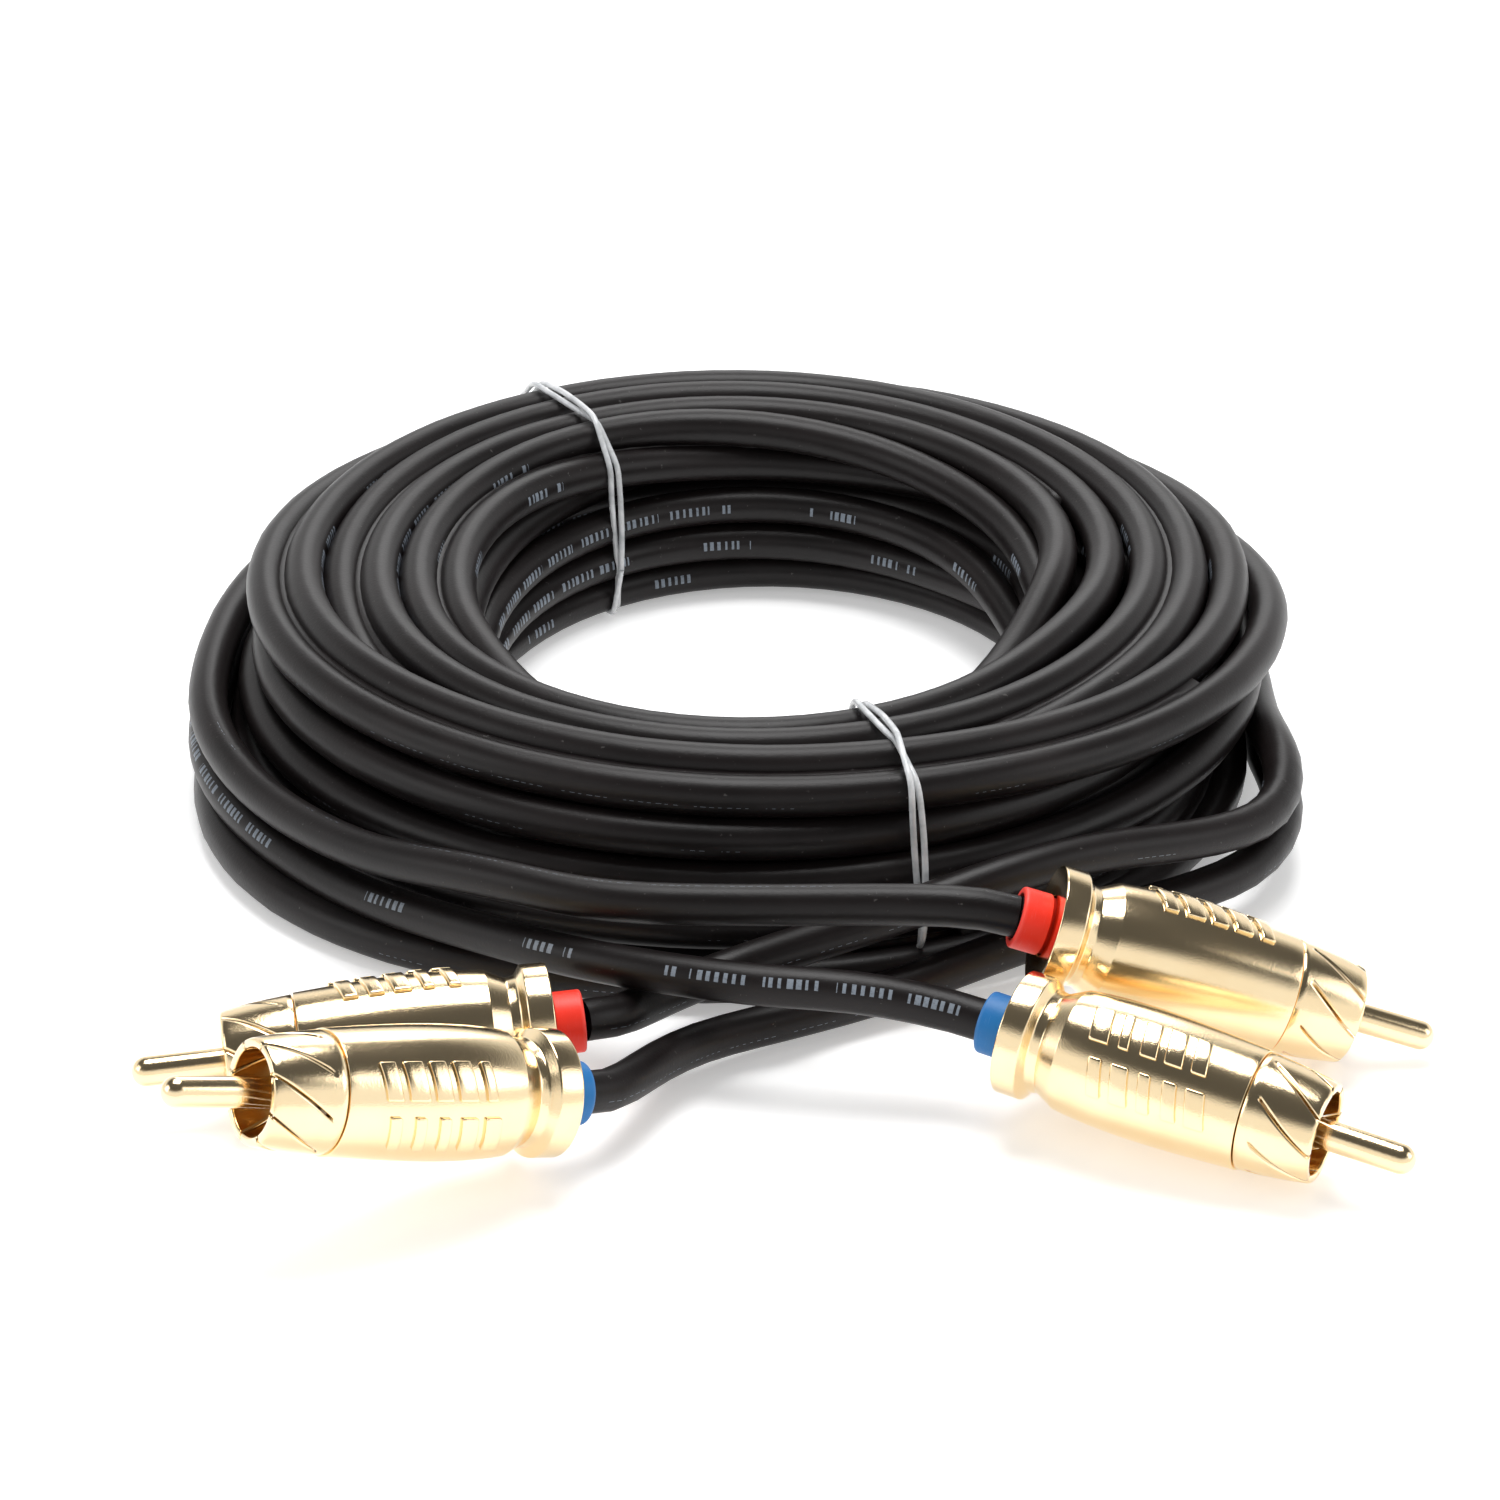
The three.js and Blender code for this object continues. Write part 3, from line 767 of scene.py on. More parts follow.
def sweep_tree():
    """Nodes that sweep a round section along a path and keep where each point lies on it."""
    kinds = {"Geometry": "Geometry", "Sides": "Int", "Material": "Material"}
    nodes, given = new_tree("sweep along path", kinds)
    path = nodes.node("GeometryNodeSetCurveNormal", {"mode": "Z_UP"}, {"Curve": given["Geometry"]})
    length = nodes.node("GeometryNodeSplineParameter").outputs["Length"]
    path = nodes.node("GeometryNodeStoreNamedAttribute", {"data_type": "FLOAT"}, {
        "Geometry": path.outputs["Curve"], "Name": "along", "Value": length})
    circle = nodes.node("GeometryNodeCurvePrimitiveCircle", {}, {"Radius": 1, "Resolution": given["Sides"]})
    place = nodes.node("GeometryNodeInputPosition").outputs["Position"]
    circle = nodes.node("GeometryNodeStoreNamedAttribute", {"data_type": "FLOAT_VECTOR"}, {
        "Geometry": circle.outputs["Curve"], "Name": "side", "Value": place})
    tube = nodes.node("GeometryNodeCurveToMesh", {}, {
        "Curve": path.outputs["Geometry"], "Profile Curve": circle.outputs["Geometry"],
        "Scale": nodes.node("GeometryNodeInputRadius").outputs["Radius"], "Fill Caps": True})
    smooth = nodes.node("GeometryNodeSetShadeSmooth", {}, {"Geometry": tube.outputs["Mesh"]})
    real = nodes.node("GeometryNodeRealizeInstances", {}, {"Geometry": smooth.outputs["Geometry"]})
    return finished_tree(nodes, real.outputs["Geometry"], given["Material"])


def node_group(name, maker):
    """A node group by name, made the first time it is asked for."""
    return bpy.data.node_groups.get(name) or maker()


def apply_nodes(source, tree, name, **inputs):
    """The plain mesh that a node tree makes of an object, as a new object; the source is removed."""
    modifier = source.modifiers.new("nodes", "NODES")
    modifier.node_group = tree
    sockets = {item.name: item.identifier for item in tree.interface.items_tree if item.in_out == "INPUT"}
    for label, content in inputs.items():
        modifier[sockets[label.replace("_", " ").capitalize()]] = content
    depsgraph = bpy.context.evaluated_depsgraph_get()
    evaluated = source.evaluated_get(depsgraph)
    mesh = bpy.data.meshes.new_from_object(evaluated, preserve_all_data_layers=True, depsgraph=depsgraph)
    mesh.name = name
    data = source.data
    bpy.data.objects.remove(source)
    if isinstance(data, bpy.types.Curve):
        bpy.data.curves.remove(data)
    else:
        bpy.data.meshes.remove(data)
    return new_object(name, mesh)


def swept(name, routes, radii, material_name, sides):
    """A round section swept along one or more routes, each with its radius at every point."""
    path = bpy.data.curves.new(name + "_path", "CURVE")
    path.dimensions = "3D"
    for route, radius in zip(routes, radii):
        spline = path.splines.new("POLY")
        spline.points.add(len(route) - 1)
        rows = np.column_stack([route, np.ones(len(route))])
        spline.points.foreach_set("co", rows.ravel())
        spline.points.foreach_set("radius", np.broadcast_to(radius, len(route)).astype(np.float32))
    source = new_object(name + "_path", path)
    tree = node_group("sweep along path", sweep_tree)
    return apply_nodes(source, tree, name, sides=sides, material=material(material_name))


def keep_lie(piece, length, lead_line):
    """Keeps, at each vertex, the millimetres along the cable and the turn round it from its printed line."""
    cable = setting("cable_settings")
    mesh = piece.data
    count = len(mesh.vertices)
    along = np.zeros(count, dtype=np.float32)
    side = np.zeros(3 * count, dtype=np.float32)
    mesh.attributes["along"].data.foreach_get("value", along)
    mesh.attributes["side"].data.foreach_get("vector", side)
    side = side.reshape(-1, 3)
    on_lead = smooth_step((along - (length - cable.lead_print)) / (80 * MM))
    line = cable.coil_print_turn + (lead_line - cable.coil_print_turn) * on_lead
    turn = np.arctan2(side[:, 0], -side[:, 1]) - line
    turn = (turn + math.pi) % (2 * math.pi) - math.pi
    lie = mesh.attributes.new("lie", "FLOAT_VECTOR", "POINT")
    rows = np.column_stack([along / MM, turn, np.zeros(count)]).astype(np.float32)
    lie.data.foreach_set("vector", rows.ravel())
    for label in ("along", "side"):
        mesh.attributes.remove(mesh.attributes[label])


# Each strand's centre line, its length, and its rows (sample number, radius, height) in the coil
ROUTES = {}
LENGTHS = {}
COIL_ROWS = {}


def make_routes():
    """The centre lines of the two strands, from the left plug through the coil to the right plug."""
    cable = setting("cable_settings")
    channels = ("red", "blue")
    wanted = [coil_targets(channel) for channel in channels]
    leads = [lead_rows(name) for name in PLUGS]
    strands = settle(wanted, leads, cable.strand_diameter / MM + SETTLE_GAP)
    for channel, rows in zip(channels, strands):
        left = lead_points(PLUGS[f"left_{channel}"])[::-1]
        right = lead_points(PLUGS[f"right_{channel}"])
        points = np.vstack([left, coil_points(rows)[1:-1], right])
        ROUTES[channel], LENGTHS[channel] = even_route(points, 3.6 * MM)
        COIL_ROWS[channel] = rows


def strand_radius(route, length):
    """The strand's radius along its route: full in the coil, a little less on the single leads."""
    cable = setting("cable_settings")
    along = np.linspace(0, length, len(route))
    from_end = np.minimum(along, length - along)
    share = smooth_step((from_end - THIN_UNTIL) / THINNING_LENGTH)
    return cable.strand_diameter / 2 * (1 - LEAD_THINNING + LEAD_THINNING * share)


def coil_hull(angle, margin):
    """A closed outline (radius, height) round the strands that a tie holds at an angle, grown by a margin."""
    cable = setting("cable_settings")
    reach = cable.strand_diameter / 2 / MM + margin
    sample = angle / 360 * SAMPLES
    points = []
    for channel in ("red", "blue"):
        rows = COIL_ROWS[channel]
        turn = math.ceil((rows[0, 0] - sample) / SAMPLES)
        while sample + turn * SAMPLES <= rows[-1, 0]:
            place = sample + turn * SAMPLES
            centre = [np.interp(place, rows[:, 0], rows[:, axis]) for axis in (1, 2)]
            if centre[0] < HELD_RADIUS:
                for step in range(HULL_SIDES):
                    a = 2 * math.pi * step / HULL_SIDES
                    points.append((centre[0] + reach * math.cos(a), centre[1] + reach * math.sin(a)))
            turn += 1
    return convex_outline(points)


def convex_outline(points):
    """The convex outline of points in a plane, the opposite way to the hands of a clock."""
    points = sorted(points)

    def half(run):
        kept = []
        for p in run:
            while len(kept) > 1:
                (ax, ay), (bx, by) = kept[-2:]
                if (bx - ax) * (p[1] - ay) - (by - ay) * (p[0] - ax) > 0:
                    break
                kept.pop()
            kept.append(p)
        return kept[:-1]

    return np.array(half(points) + half(points[::-1]))


def length_setting(name, description, default, low, high):
    """A length that can be set in the panel of the scene's settings."""
    return FloatProperty(name=name, description=description, default=default, min=low, max=high,
                         unit="LENGTH", subtype="DISTANCE", precision=5)


def colour_setting(name, description, default):
    """A colour that can be set, without its alpha."""
    return FloatVectorProperty(name=name, description=description, default=default, min=0, max=1,
                               subtype="COLOR")


class CableSettings(bpy.types.PropertyGroup):
    """Sizes and colours of the cable and its ties."""

    strand_diameter: length_setting(
        "Strand diameter", "Thickness of one strand of the twin cable", 4.68 * MM, 2 * MM, 8 * MM)
    sides: IntProperty(
        name="Strand sides", description="Faces round one strand", default=22, min=8, max=40)
    jacket_colour: colour_setting("Jacket colour", "Colour of the PVC jacket", (0.0050, 0.0036, 0.0036))
    dust_colour: colour_setting("Dust", "Colour of the dust on the jacket", (0.12, 0.115, 0.11))
    bar_pitch: length_setting(
        "Printed bar pitch", "From one printed bar to the next", 0.95 * MM, 0.2 * MM, 20 * MM)
    print_repeat: length_setting(
        "Print repeat", "Length after which the groups of bars start again", 112 * MM, 10 * MM, 1)
    coil_print_turn: FloatProperty(
        name="Print turn in the coil", description="From the top of the strand to its printed line",
        default=math.radians(-80), min=-math.pi, max=math.pi, unit="ROTATION", subtype="ANGLE")
    lead_print_turn: FloatProperty(
        name="Print turn on the lead", description="From the top of the strand to its printed line",
        default=math.radians(52), min=-math.pi, max=math.pi, unit="ROTATION", subtype="ANGLE")
    lead_print: length_setting(
        "Lead print", "From the end of the cable to where the printed line changes sides",
        320 * MM, 10 * MM, 2)
    print_colour: colour_setting(
        "Print colour", "Colour of the printed bars on the jacket", (0.2, 0.23, 0.27))
    tie_thickness: length_setting(
        "Tie thickness", "Thickness of one strand of a twist tie", 0.75 * MM, 0.2 * MM, 2 * MM)
    tie_lay: length_setting(
        "Tie lay", "Length over which a tie's strands go once round each other", 46 * MM, 3 * MM, 60 * MM)


class PlugSettings(bpy.types.PropertyGroup):
    """Colours and fineness of the plugs."""

    gold_colour: colour_setting("Gold", "Colour of the gold plate", (0.98, 0.79, 0.5))
    gold_shade: colour_setting(
        "Deep gold", "Colour of the plate where it is thicker", (0.92, 0.67, 0.36))
    # The colour in the bore is a painted reflection: it stands in for light bounced about inside the gold
    gold_bore_glow: colour_setting("Gold inside", "Colour of the plate inside the bore", (0.9, 0.55, 0.2))
    blast_depth: FloatProperty(
        name="Blast depth", description="Depth of the fine blasted surface", default=0.00002,
        min=0, max=0.001, precision=7)
    red_colour: colour_setting("Red ring", "Colour of the red channel's rings", (0.95, 0.035, 0.015))
    blue_colour: colour_setting("Blue ring", "Colour of the blue channel's rings", (0.01, 0.15, 0.42))
    segments: IntProperty(
        name="Turned segments", description="Faces round a turned piece", default=120, min=24, max=240)
    motif_height: length_setting(
        "Motif height", "How far the raised bars stand off the barrel", 0.4 * MM, 0, 1 * MM)
    motif_bars: IntProperty(
        name="Motif bars", description="Raised bars in each of the two rows on a barrel",
        default=5, min=1, max=12)
    motif_pitch: length_setting(
        "Motif pitch", "From one raised bar to the next", 2.75 * MM, 0.5 * MM, 10 * MM)
    motif_reach: length_setting(
        "Motif reach", "Length of a raised bar round the barrel", 4.1 * MM, 0.5 * MM, 20 * MM)
    motif_gap: length_setting("Motif row gap", "Between the two rows of bars", 1.6 * MM, 0, 10 * MM)
    motif_seed: IntProperty(
        name="Motif seed", description="Order of the bars' widths", default=4, min=0, max=999)


class StageSettings(bpy.types.PropertyGroup):
    """Floor, light and camera."""

    floor_colour: colour_setting("Floor colour", "Colour of the floor", (0.9, 0.9, 0.9))
    floor_glow: FloatProperty(
        name="Floor glow", description="Light of the floor itself, as of a lit table",
        default=0.4, min=0, max=2)
    ambient: FloatProperty(
        name="Ambient light", description="Strength of the light from all round", default=0.5, min=0, max=3)
    overhead: FloatProperty(
        name="Overhead", description="Strength of the surroundings overhead, as reflections show them",
        default=0.09, min=0, max=3)
    dim_from: FloatProperty(
        name="Dim from", description="Height, as the sine of its angle, where the surroundings start to dim",
        default=0.4, min=-1, max=1)
    dim_to: FloatProperty(
        name="Dim to", description="Height, as the sine of its angle, where they are dimmest",
        default=0.62, min=-1, max=1)
    key_power: FloatProperty(
        name="Key lamp", description="Power of the large lamp over the object",
        default=3.7, min=0, max=500, unit="POWER")
    lens: FloatProperty(
        name="Lens", description="Focal length for a 36 mm wide sensor", default=116.13, min=10, max=400)
    distance: length_setting(
        "Camera distance", "From the camera to the point it looks at", 0.5859, 0.1, 5)
    elevation: FloatProperty(
        name="Camera elevation", description="Angle of the view below the horizon",
        default=math.radians(26.46), min=0, max=math.pi / 2, unit="ROTATION", subtype="ANGLE")


class CABLE_OT_camera(bpy.types.Operator):
    """Place the camera at the photograph's viewing angle"""

    bl_idname = "audio_cable.camera"
    bl_label = "Camera"

    def execute(self, context):
        stage = setting("stage_settings")
        target = COIL_CENTRE + Vector((-1.5 * MM, -4.5 * MM, 0))
        back = Vector((0, -math.cos(stage.elevation), math.sin(stage.elevation)))
        data = bpy.data.cameras.new("Camera")
        data.sensor_width = 36
        data.sensor_fit = "HORIZONTAL"
        data.lens = stage.lens
        data.clip_start = 0.01
        camera = new_object("Camera", data)
        camera.location = target + back * stage.distance
        camera.rotation_euler = (math.pi / 2 - stage.elevation, 0, 0)
        context.scene.camera = camera
        return {"FINISHED"}


class CABLE_OT_strands(bpy.types.Operator):
    """Make the two strands of the cable, from plug to plug through the coil"""

    bl_idname = "audio_cable.strands"
    bl_label = "Strands"

    def execute(self, context):
        cable = setting("cable_settings")
        make_routes()
        for channel in ("red", "blue"):
            route = ROUTES[channel]
            length = LENGTHS[channel]
            name = f"{channel}_channel_strand"
            piece = swept(name, [route], [strand_radius(route, length)], "printed jacket", cable.sides)
            keep_lie(piece, length, cable.lead_print_turn if channel == "blue" else math.pi)
            dress(piece, ["coil", f"left_{channel}_lead", f"right_{channel}_lead"])
        return {"FINISHED"}


class CABLE_OT_web(bpy.types.Operator):
    """Make the thin web that joins the two strands side by side"""

    bl_idname = "audio_cable.web"
    bl_label = "Web"

    def execute(self, context):
        cable = setting("cable_settings")
        diameter = cable.strand_diameter
        red, blue = (coil_points(COIL_ROWS[channel]) for channel in ("red", "blue"))
        count = min(len(red), len(blue))
        red, blue = red[:count], blue[:count]
        near = np.linalg.norm(red - blue, axis=1) < WEB_REACH * diameter
        vertices, faces = [], []
        half = WEB_HALF_HEIGHT * diameter
        for i in range(count - 1):
            if not (near[i] and near[i + 1]):
                continue
            for end in (i, i + 1):
                middle = (red[end] + blue[end]) / 2
                across = (blue[end] - red[end]) / np.linalg.norm(blue[end] - red[end])
                step = red[min(end + 1, count - 1)] - red[max(end - 1, 0)]
                normal = np.cross(across, step)
                normal /= np.linalg.norm(normal)
                for side, lift in ((-1, -1), (1, -1), (1, 1), (-1, 1)):
                    vertices.append(middle + across * side * WEB_HALF_WIDTH * diameter + normal * lift * half)
            base = len(vertices) - 8
            for a in range(4):
                b = (a + 1) % 4
                faces.append((base + a, base + b, base + 4 + b, base + 4 + a))
            if not near[i - 1] or i == 0:
                faces.append((base + 3, base + 2, base + 1, base))
            if i + 2 >= count or not near[i + 2]:
                faces.append((base + 4, base + 5, base + 6, base + 7))
        piece = mesh_object("strand_web", vertices, faces, "plain jacket")
        tidy_mesh(piece)
        dress(piece, ["coil"])
        return {"FINISHED"}


def tidy_mesh(piece):
    """Merges doubled vertices and turns every face outwards."""
    work = bmesh.new()
    work.from_mesh(piece.data)
    bmesh.ops.remove_doubles(work, verts=work.verts, dist=1e-6)
    bmesh.ops.recalc_face_normals(work, faces=work.faces)
    work.to_mesh(piece.data)
    work.free()


class CABLE_OT_ties(bpy.types.Operator):
    """Make the two clear twist ties round the coil"""

    bl_idname = "audio_cable.ties"
    bl_label = "Twist ties"

    def execute(self, context):
        cable = setting("cable_settings")
        thickness = cable.tie_thickness / MM
        for name, angle in TIE_ANGLES.items():
            outline = coil_hull(angle, 0.75 * thickness + 0.1)
            outline[:, 1] = np.maximum(outline[:, 1], 0.8 * thickness)
            closed = np.vstack([outline, outline[:1]])
            along = np.concatenate([[0], np.cumsum(np.linalg.norm(np.diff(closed, axis=0), axis=1))])
            place = np.linspace(0, along[-1], TIE_STEPS + 1)
            path = np.column_stack([np.interp(place, along, closed[:, axis]) for axis in (0, 1)])
            for _ in range(3):
                path[1:-1] += 0.25 * (path[:-2] + path[2:] - 2 * path[1:-1])
            tangent = np.gradient(path, axis=0)
            tangent /= np.linalg.norm(tangent, axis=1)[:, None]
            outward = np.column_stack([tangent[:, 1], -tangent[:, 0]])
            lays = max(1, round(along[-1] / (cable.tie_lay / MM)))
            routes = []
            for strand in range(2):
                phase = 2 * math.pi * (lays * place / along[-1] + strand / 2)
                spread = TIE_SPREAD * thickness
                flat = path + outward * (spread * np.cos(phase))[:, None]
                sideways = spread * np.sin(phase) * (1 + 0.5 * np.sin(phase / lays + 1) ** 2)
                routes.append(section_to_world(flat, sideways, angle))
            radii = [np.full(len(route), cable.tie_thickness / 2) for route in routes]
            piece = swept(name + "_twist", routes, radii, "clear", 10)
            dress(piece, [name])
        return {"FINISHED"}


def section_to_world(flat, sideways, angle):
    """Points in the row frame from (radius, height) and a sideways offset in millimetres, at an angle."""
    turn = math.radians(angle)
    outward = np.array([math.cos(turn), math.sin(turn), 0])
    around = np.array([-math.sin(turn), math.cos(turn), 0])
    centre = np.array(COIL_CENTRE)
    rise = np.array([0, 0, 1])
    points = centre + MM * (flat[:, :1] * outward + sideways[:, None] * around + flat[:, 1:2] * rise)
    return points


def fillet(corners, steps=6):
    """A profile of (radius, station) points from corners of (radius, station, rounding)."""
    points = []
    count = len(corners)
    for i in range(count):
        here = np.array(corners[i][:2], dtype=float)
        rounding = corners[i][2]
        before = np.array(corners[i - 1][:2], dtype=float)
        after = np.array(corners[(i + 1) % count][:2], dtype=float)
        if rounding <= 0:
            points.append(here)
            continue
        a = (before - here) / np.linalg.norm(before - here)
        b = (after - here) / np.linalg.norm(after - here)
        half = math.acos(np.clip(np.dot(a, b), -1, 1)) / 2
        room = 0.48 * min(np.linalg.norm(before - here), np.linalg.norm(after - here))
        reach = min(rounding / math.tan(half), room)
        start, end = here + a * reach, here + b * reach
        for step in range(steps + 1):
            t = step / steps
            points.append((1 - t) ** 2 * start + 2 * t * (1 - t) * here + t ** 2 * end)
    return np.array(points)


def turned_point(matrix, radius, station, turn):
    """The point of a plug at a radius and station in millimetres and a turn about its axis."""
    return matrix @ Vector((radius * MM * math.sin(turn), station * MM, radius * MM * math.cos(turn)))


def turned_mesh(name, profile, matrix, material_name, segments, closed=True):
    """A profile of (radius, station) in millimetres turned about a plug's axis; closed joins its ends."""
    rows = len(profile)
    vertices, lathe, faces = [], [], []
    for j in range(segments):
        turn = 2 * math.pi * j / segments
        for radius, station in profile:
            vertices.append(turned_point(matrix, radius, station, turn))
            lathe.append((turn, station, radius))
    for j in range(segments):
        k = (j + 1) % segments
        for i in range(rows if closed else rows - 1):
            n = (i + 1) % rows
            faces.append((j * rows + i, k * rows + i, k * rows + n, j * rows + n))
    piece = mesh_object(name, vertices, faces, material_name, ("lathe", lathe))
    tidy_mesh(piece)
    return piece


def barrel_curve():
    """The factors of the cubic that gives the barrel's outer radius by station."""
    stations = (BARREL_REAR, BARREL_REAR + 3.2, BARREL_REAR + 8, BARREL_REAR + 14, BARREL_FRONT)
    radii = (BARREL_REAR_RADIUS, BARREL_WIDEST_RADIUS - 0.07, BARREL_WIDEST_RADIUS,
             BARREL_WIDEST_RADIUS - 0.12, BARREL_FRONT_RADIUS)
    return np.polyfit(stations, radii, 3)


def barrel_radius(station):
    """The barrel's outer radius at a station."""
    return float(np.polyval(barrel_curve(), station))


def shell_profile():
    """The shell's section: rounded flange, hollow waist, crowned barrel, and the bore through it."""
    barrel = [
        (barrel_radius(station), station, 0)
        for station in np.linspace(BARREL_REAR + 1, BARREL_FRONT - 1, 14)
    ]
    outside = [
        (REAR_HOLE_RADIUS, FLANGE_REAR, 0.15),
        (FLANGE_RADIUS, FLANGE_REAR, 0.22),
        (FLANGE_RADIUS, FLANGE_FRONT, 0.3),
        (WAIST_RADIUS + 0.15, FLANGE_FRONT + 0.75, 0.45),
        (WAIST_RADIUS, WAIST_FRONT - 0.9, 0.5),
        (barrel_radius(BARREL_REAR), BARREL_REAR, 0.28),
        *barrel,
        (BARREL_FRONT_RADIUS, BARREL_FRONT, 0.1),
    ]
    inside = [
        (TAIL_RADIUS + 0.3, BARREL_FRONT, 0.1),
        (TAIL_RADIUS + 0.3, TAIL_REAR - 0.3, 0),
        (CHAMBER_RADIUS, TAIL_REAR - 0.3, 0),
        (CHAMBER_RADIUS, CHAMBER_REAR, 0),
        (REAR_HOLE_RADIUS, CHAMBER_REAR, 0),
    ]
    return fillet(outside + inside)


class CABLE_OT_shells(bpy.types.Operator):
    """Make the turned gold shells of the plugs"""

    bl_idname = "audio_cable.shells"
    bl_label = "Shells"

    def execute(self, context):
        segments = setting("plug_settings").segments
        profile = shell_profile()
        for name, plug in PLUGS.items():
            piece = turned_mesh(f"{name}_turned_shell", profile, plug_matrix(plug), "gold", segments)
            dress(piece, [f"{name}_shell"])
        return {"FINISHED"}


def bars_tree():
    """Nodes that lay two rows of slanted raised bars, in millimetres, and wrap them round a barrel."""
    sizes = ("Pitch", "Reach", "Gap", "Height", "Turn")
    nodes, given = new_tree("raised bars", {
        "Geometry": "Geometry", "Bars": "Int", **dict.fromkeys(sizes, "Float"),
        "Seed": "Int", "Material": "Material"})
    pitch, reach, gap, height, turn = (Value(nodes, given[label]) for label in sizes)
    bars = Value(nodes, given["Bars"])
    size = nodes.node("ShaderNodeCombineXYZ", {}, [pitch * 0.56, reach, height * 2]).outputs["Vector"]
    bar = nodes.node("GeometryNodeMeshCube", {}, {
        "Size": size, "Vertices X": 4, "Vertices Y": 14, "Vertices Z": 2}).outputs["Mesh"]
    spots = nodes.node("GeometryNodeMeshGrid", {}, {
        "Size X": pitch * (bars - 1), "Size Y": reach + gap, "Vertices X": given["Bars"], "Vertices Y": 2})
    widths = nodes.node("FunctionNodeRandomValue", {"data_type": "FLOAT_VECTOR"}, {
        0: (0.75, 1, 1), 1: (1.45, 1, 1), "Seed": given["Seed"]}).outputs[0]
    placed = nodes.node("GeometryNodeInstanceOnPoints", {}, {
        "Points": spots.outputs["Mesh"], "Instance": bar, "Scale": widths}).outputs["Instances"]
    real = nodes.node("GeometryNodeRealizeInstances", {}, {"Geometry": placed}).outputs["Geometry"]
    place = nodes.node("GeometryNodeInputPosition").outputs["Position"]
    x, y, z = (Value(nodes, part) for part in nodes.node("ShaderNodeSeparateXYZ", {}, [place]).outputs)
    middle = (BARREL_REAR + BARREL_FRONT) / 2
    station = x + y * MOTIF_SLANT + (middle - 0.4)
    radius = Value(nodes, nodes.node("ShaderNodeValue").outputs[0])
    radius.socket.default_value = 0
    for part in barrel_curve():
        radius = radius * station + float(part)
    angle = turn + y / BARREL_WIDEST_RADIUS
    reach_out = radius + z
    wrapped = nodes.node("ShaderNodeCombineXYZ", {}, [
        reach_out * angle.math("SINE", angle), station, reach_out * angle.math("COSINE", angle)])
    moved = nodes.node("GeometryNodeSetPosition", {}, {
        "Geometry": real, "Position": wrapped.outputs["Vector"]})
    return finished_tree(nodes, moved.outputs["Geometry"], given["Material"])


class CABLE_OT_motif(bpy.types.Operator):
    """Make the raised bars cast on the barrels"""

    bl_idname = "audio_cable.motif"
    bl_label = "Raised bars"

    def execute(self, context):
        look = setting("plug_settings")
        tree = node_group("raised bars", bars_tree)
        for number, (name, plug) in enumerate(PLUGS.items()):
            seed_mesh = bpy.data.meshes.new(f"{name}_bars_start")
            source = new_object(f"{name}_bars_start", seed_mesh)
            piece = apply_nodes(
                source, tree, f"{name}_raised_bars", bars=look.motif_bars, pitch=look.motif_pitch / MM,
                reach=look.motif_reach / MM, gap=look.motif_gap / MM, height=look.motif_height / MM,
                turn=math.radians(plug["motif_turn"]), seed=look.motif_seed + number,
                material=material("gold"))
            places = [vertex.co for vertex in piece.data.vertices]
            lathe = [(math.atan2(co.x, co.z), co.y, math.hypot(co.x, co.z)) for co in places]
            piece.data.transform(plug_matrix(plug) @ Matrix.Scale(MM, 4))
            layer = piece.data.attributes.new("lathe", "FLOAT_VECTOR", "POINT")
            layer.data.foreach_set("vector", np.array(lathe, dtype=np.float32).ravel())
            soften(piece, 0.2 * MM)
            dress(piece, [f"{name}_shell"])
        return {"FINISHED"}


def soften(piece, width):
    """Rounds a piece's sharp edges."""
    work = bmesh.new()
    work.from_mesh(piece.data)
    bmesh.ops.remove_doubles(work, verts=work.verts, dist=1e-6)
    sharp = [edge for edge in work.edges if edge.is_manifold and edge.calc_face_angle() > math.radians(50)]
    bmesh.ops.bevel(work, geom=sharp, offset=width, segments=3, profile=0.5, affect="EDGES", material=-1)
    bmesh.ops.recalc_face_normals(work, faces=work.faces)
    for face in work.faces:
        face.smooth = True
    work.to_mesh(piece.data)
    work.free()


def nose_radius(station):
    """The slit nose's outer radius at a station."""
    stations = (BARREL_FRONT, (BARREL_FRONT + RIM) / 2, RIM)
    fit = np.polyfit(stations, (NOSE_RADIUS, NOSE_MIDDLE_RADIUS, RIM_RADIUS - 0.05), 2)
    return float(np.polyval(fit, station))


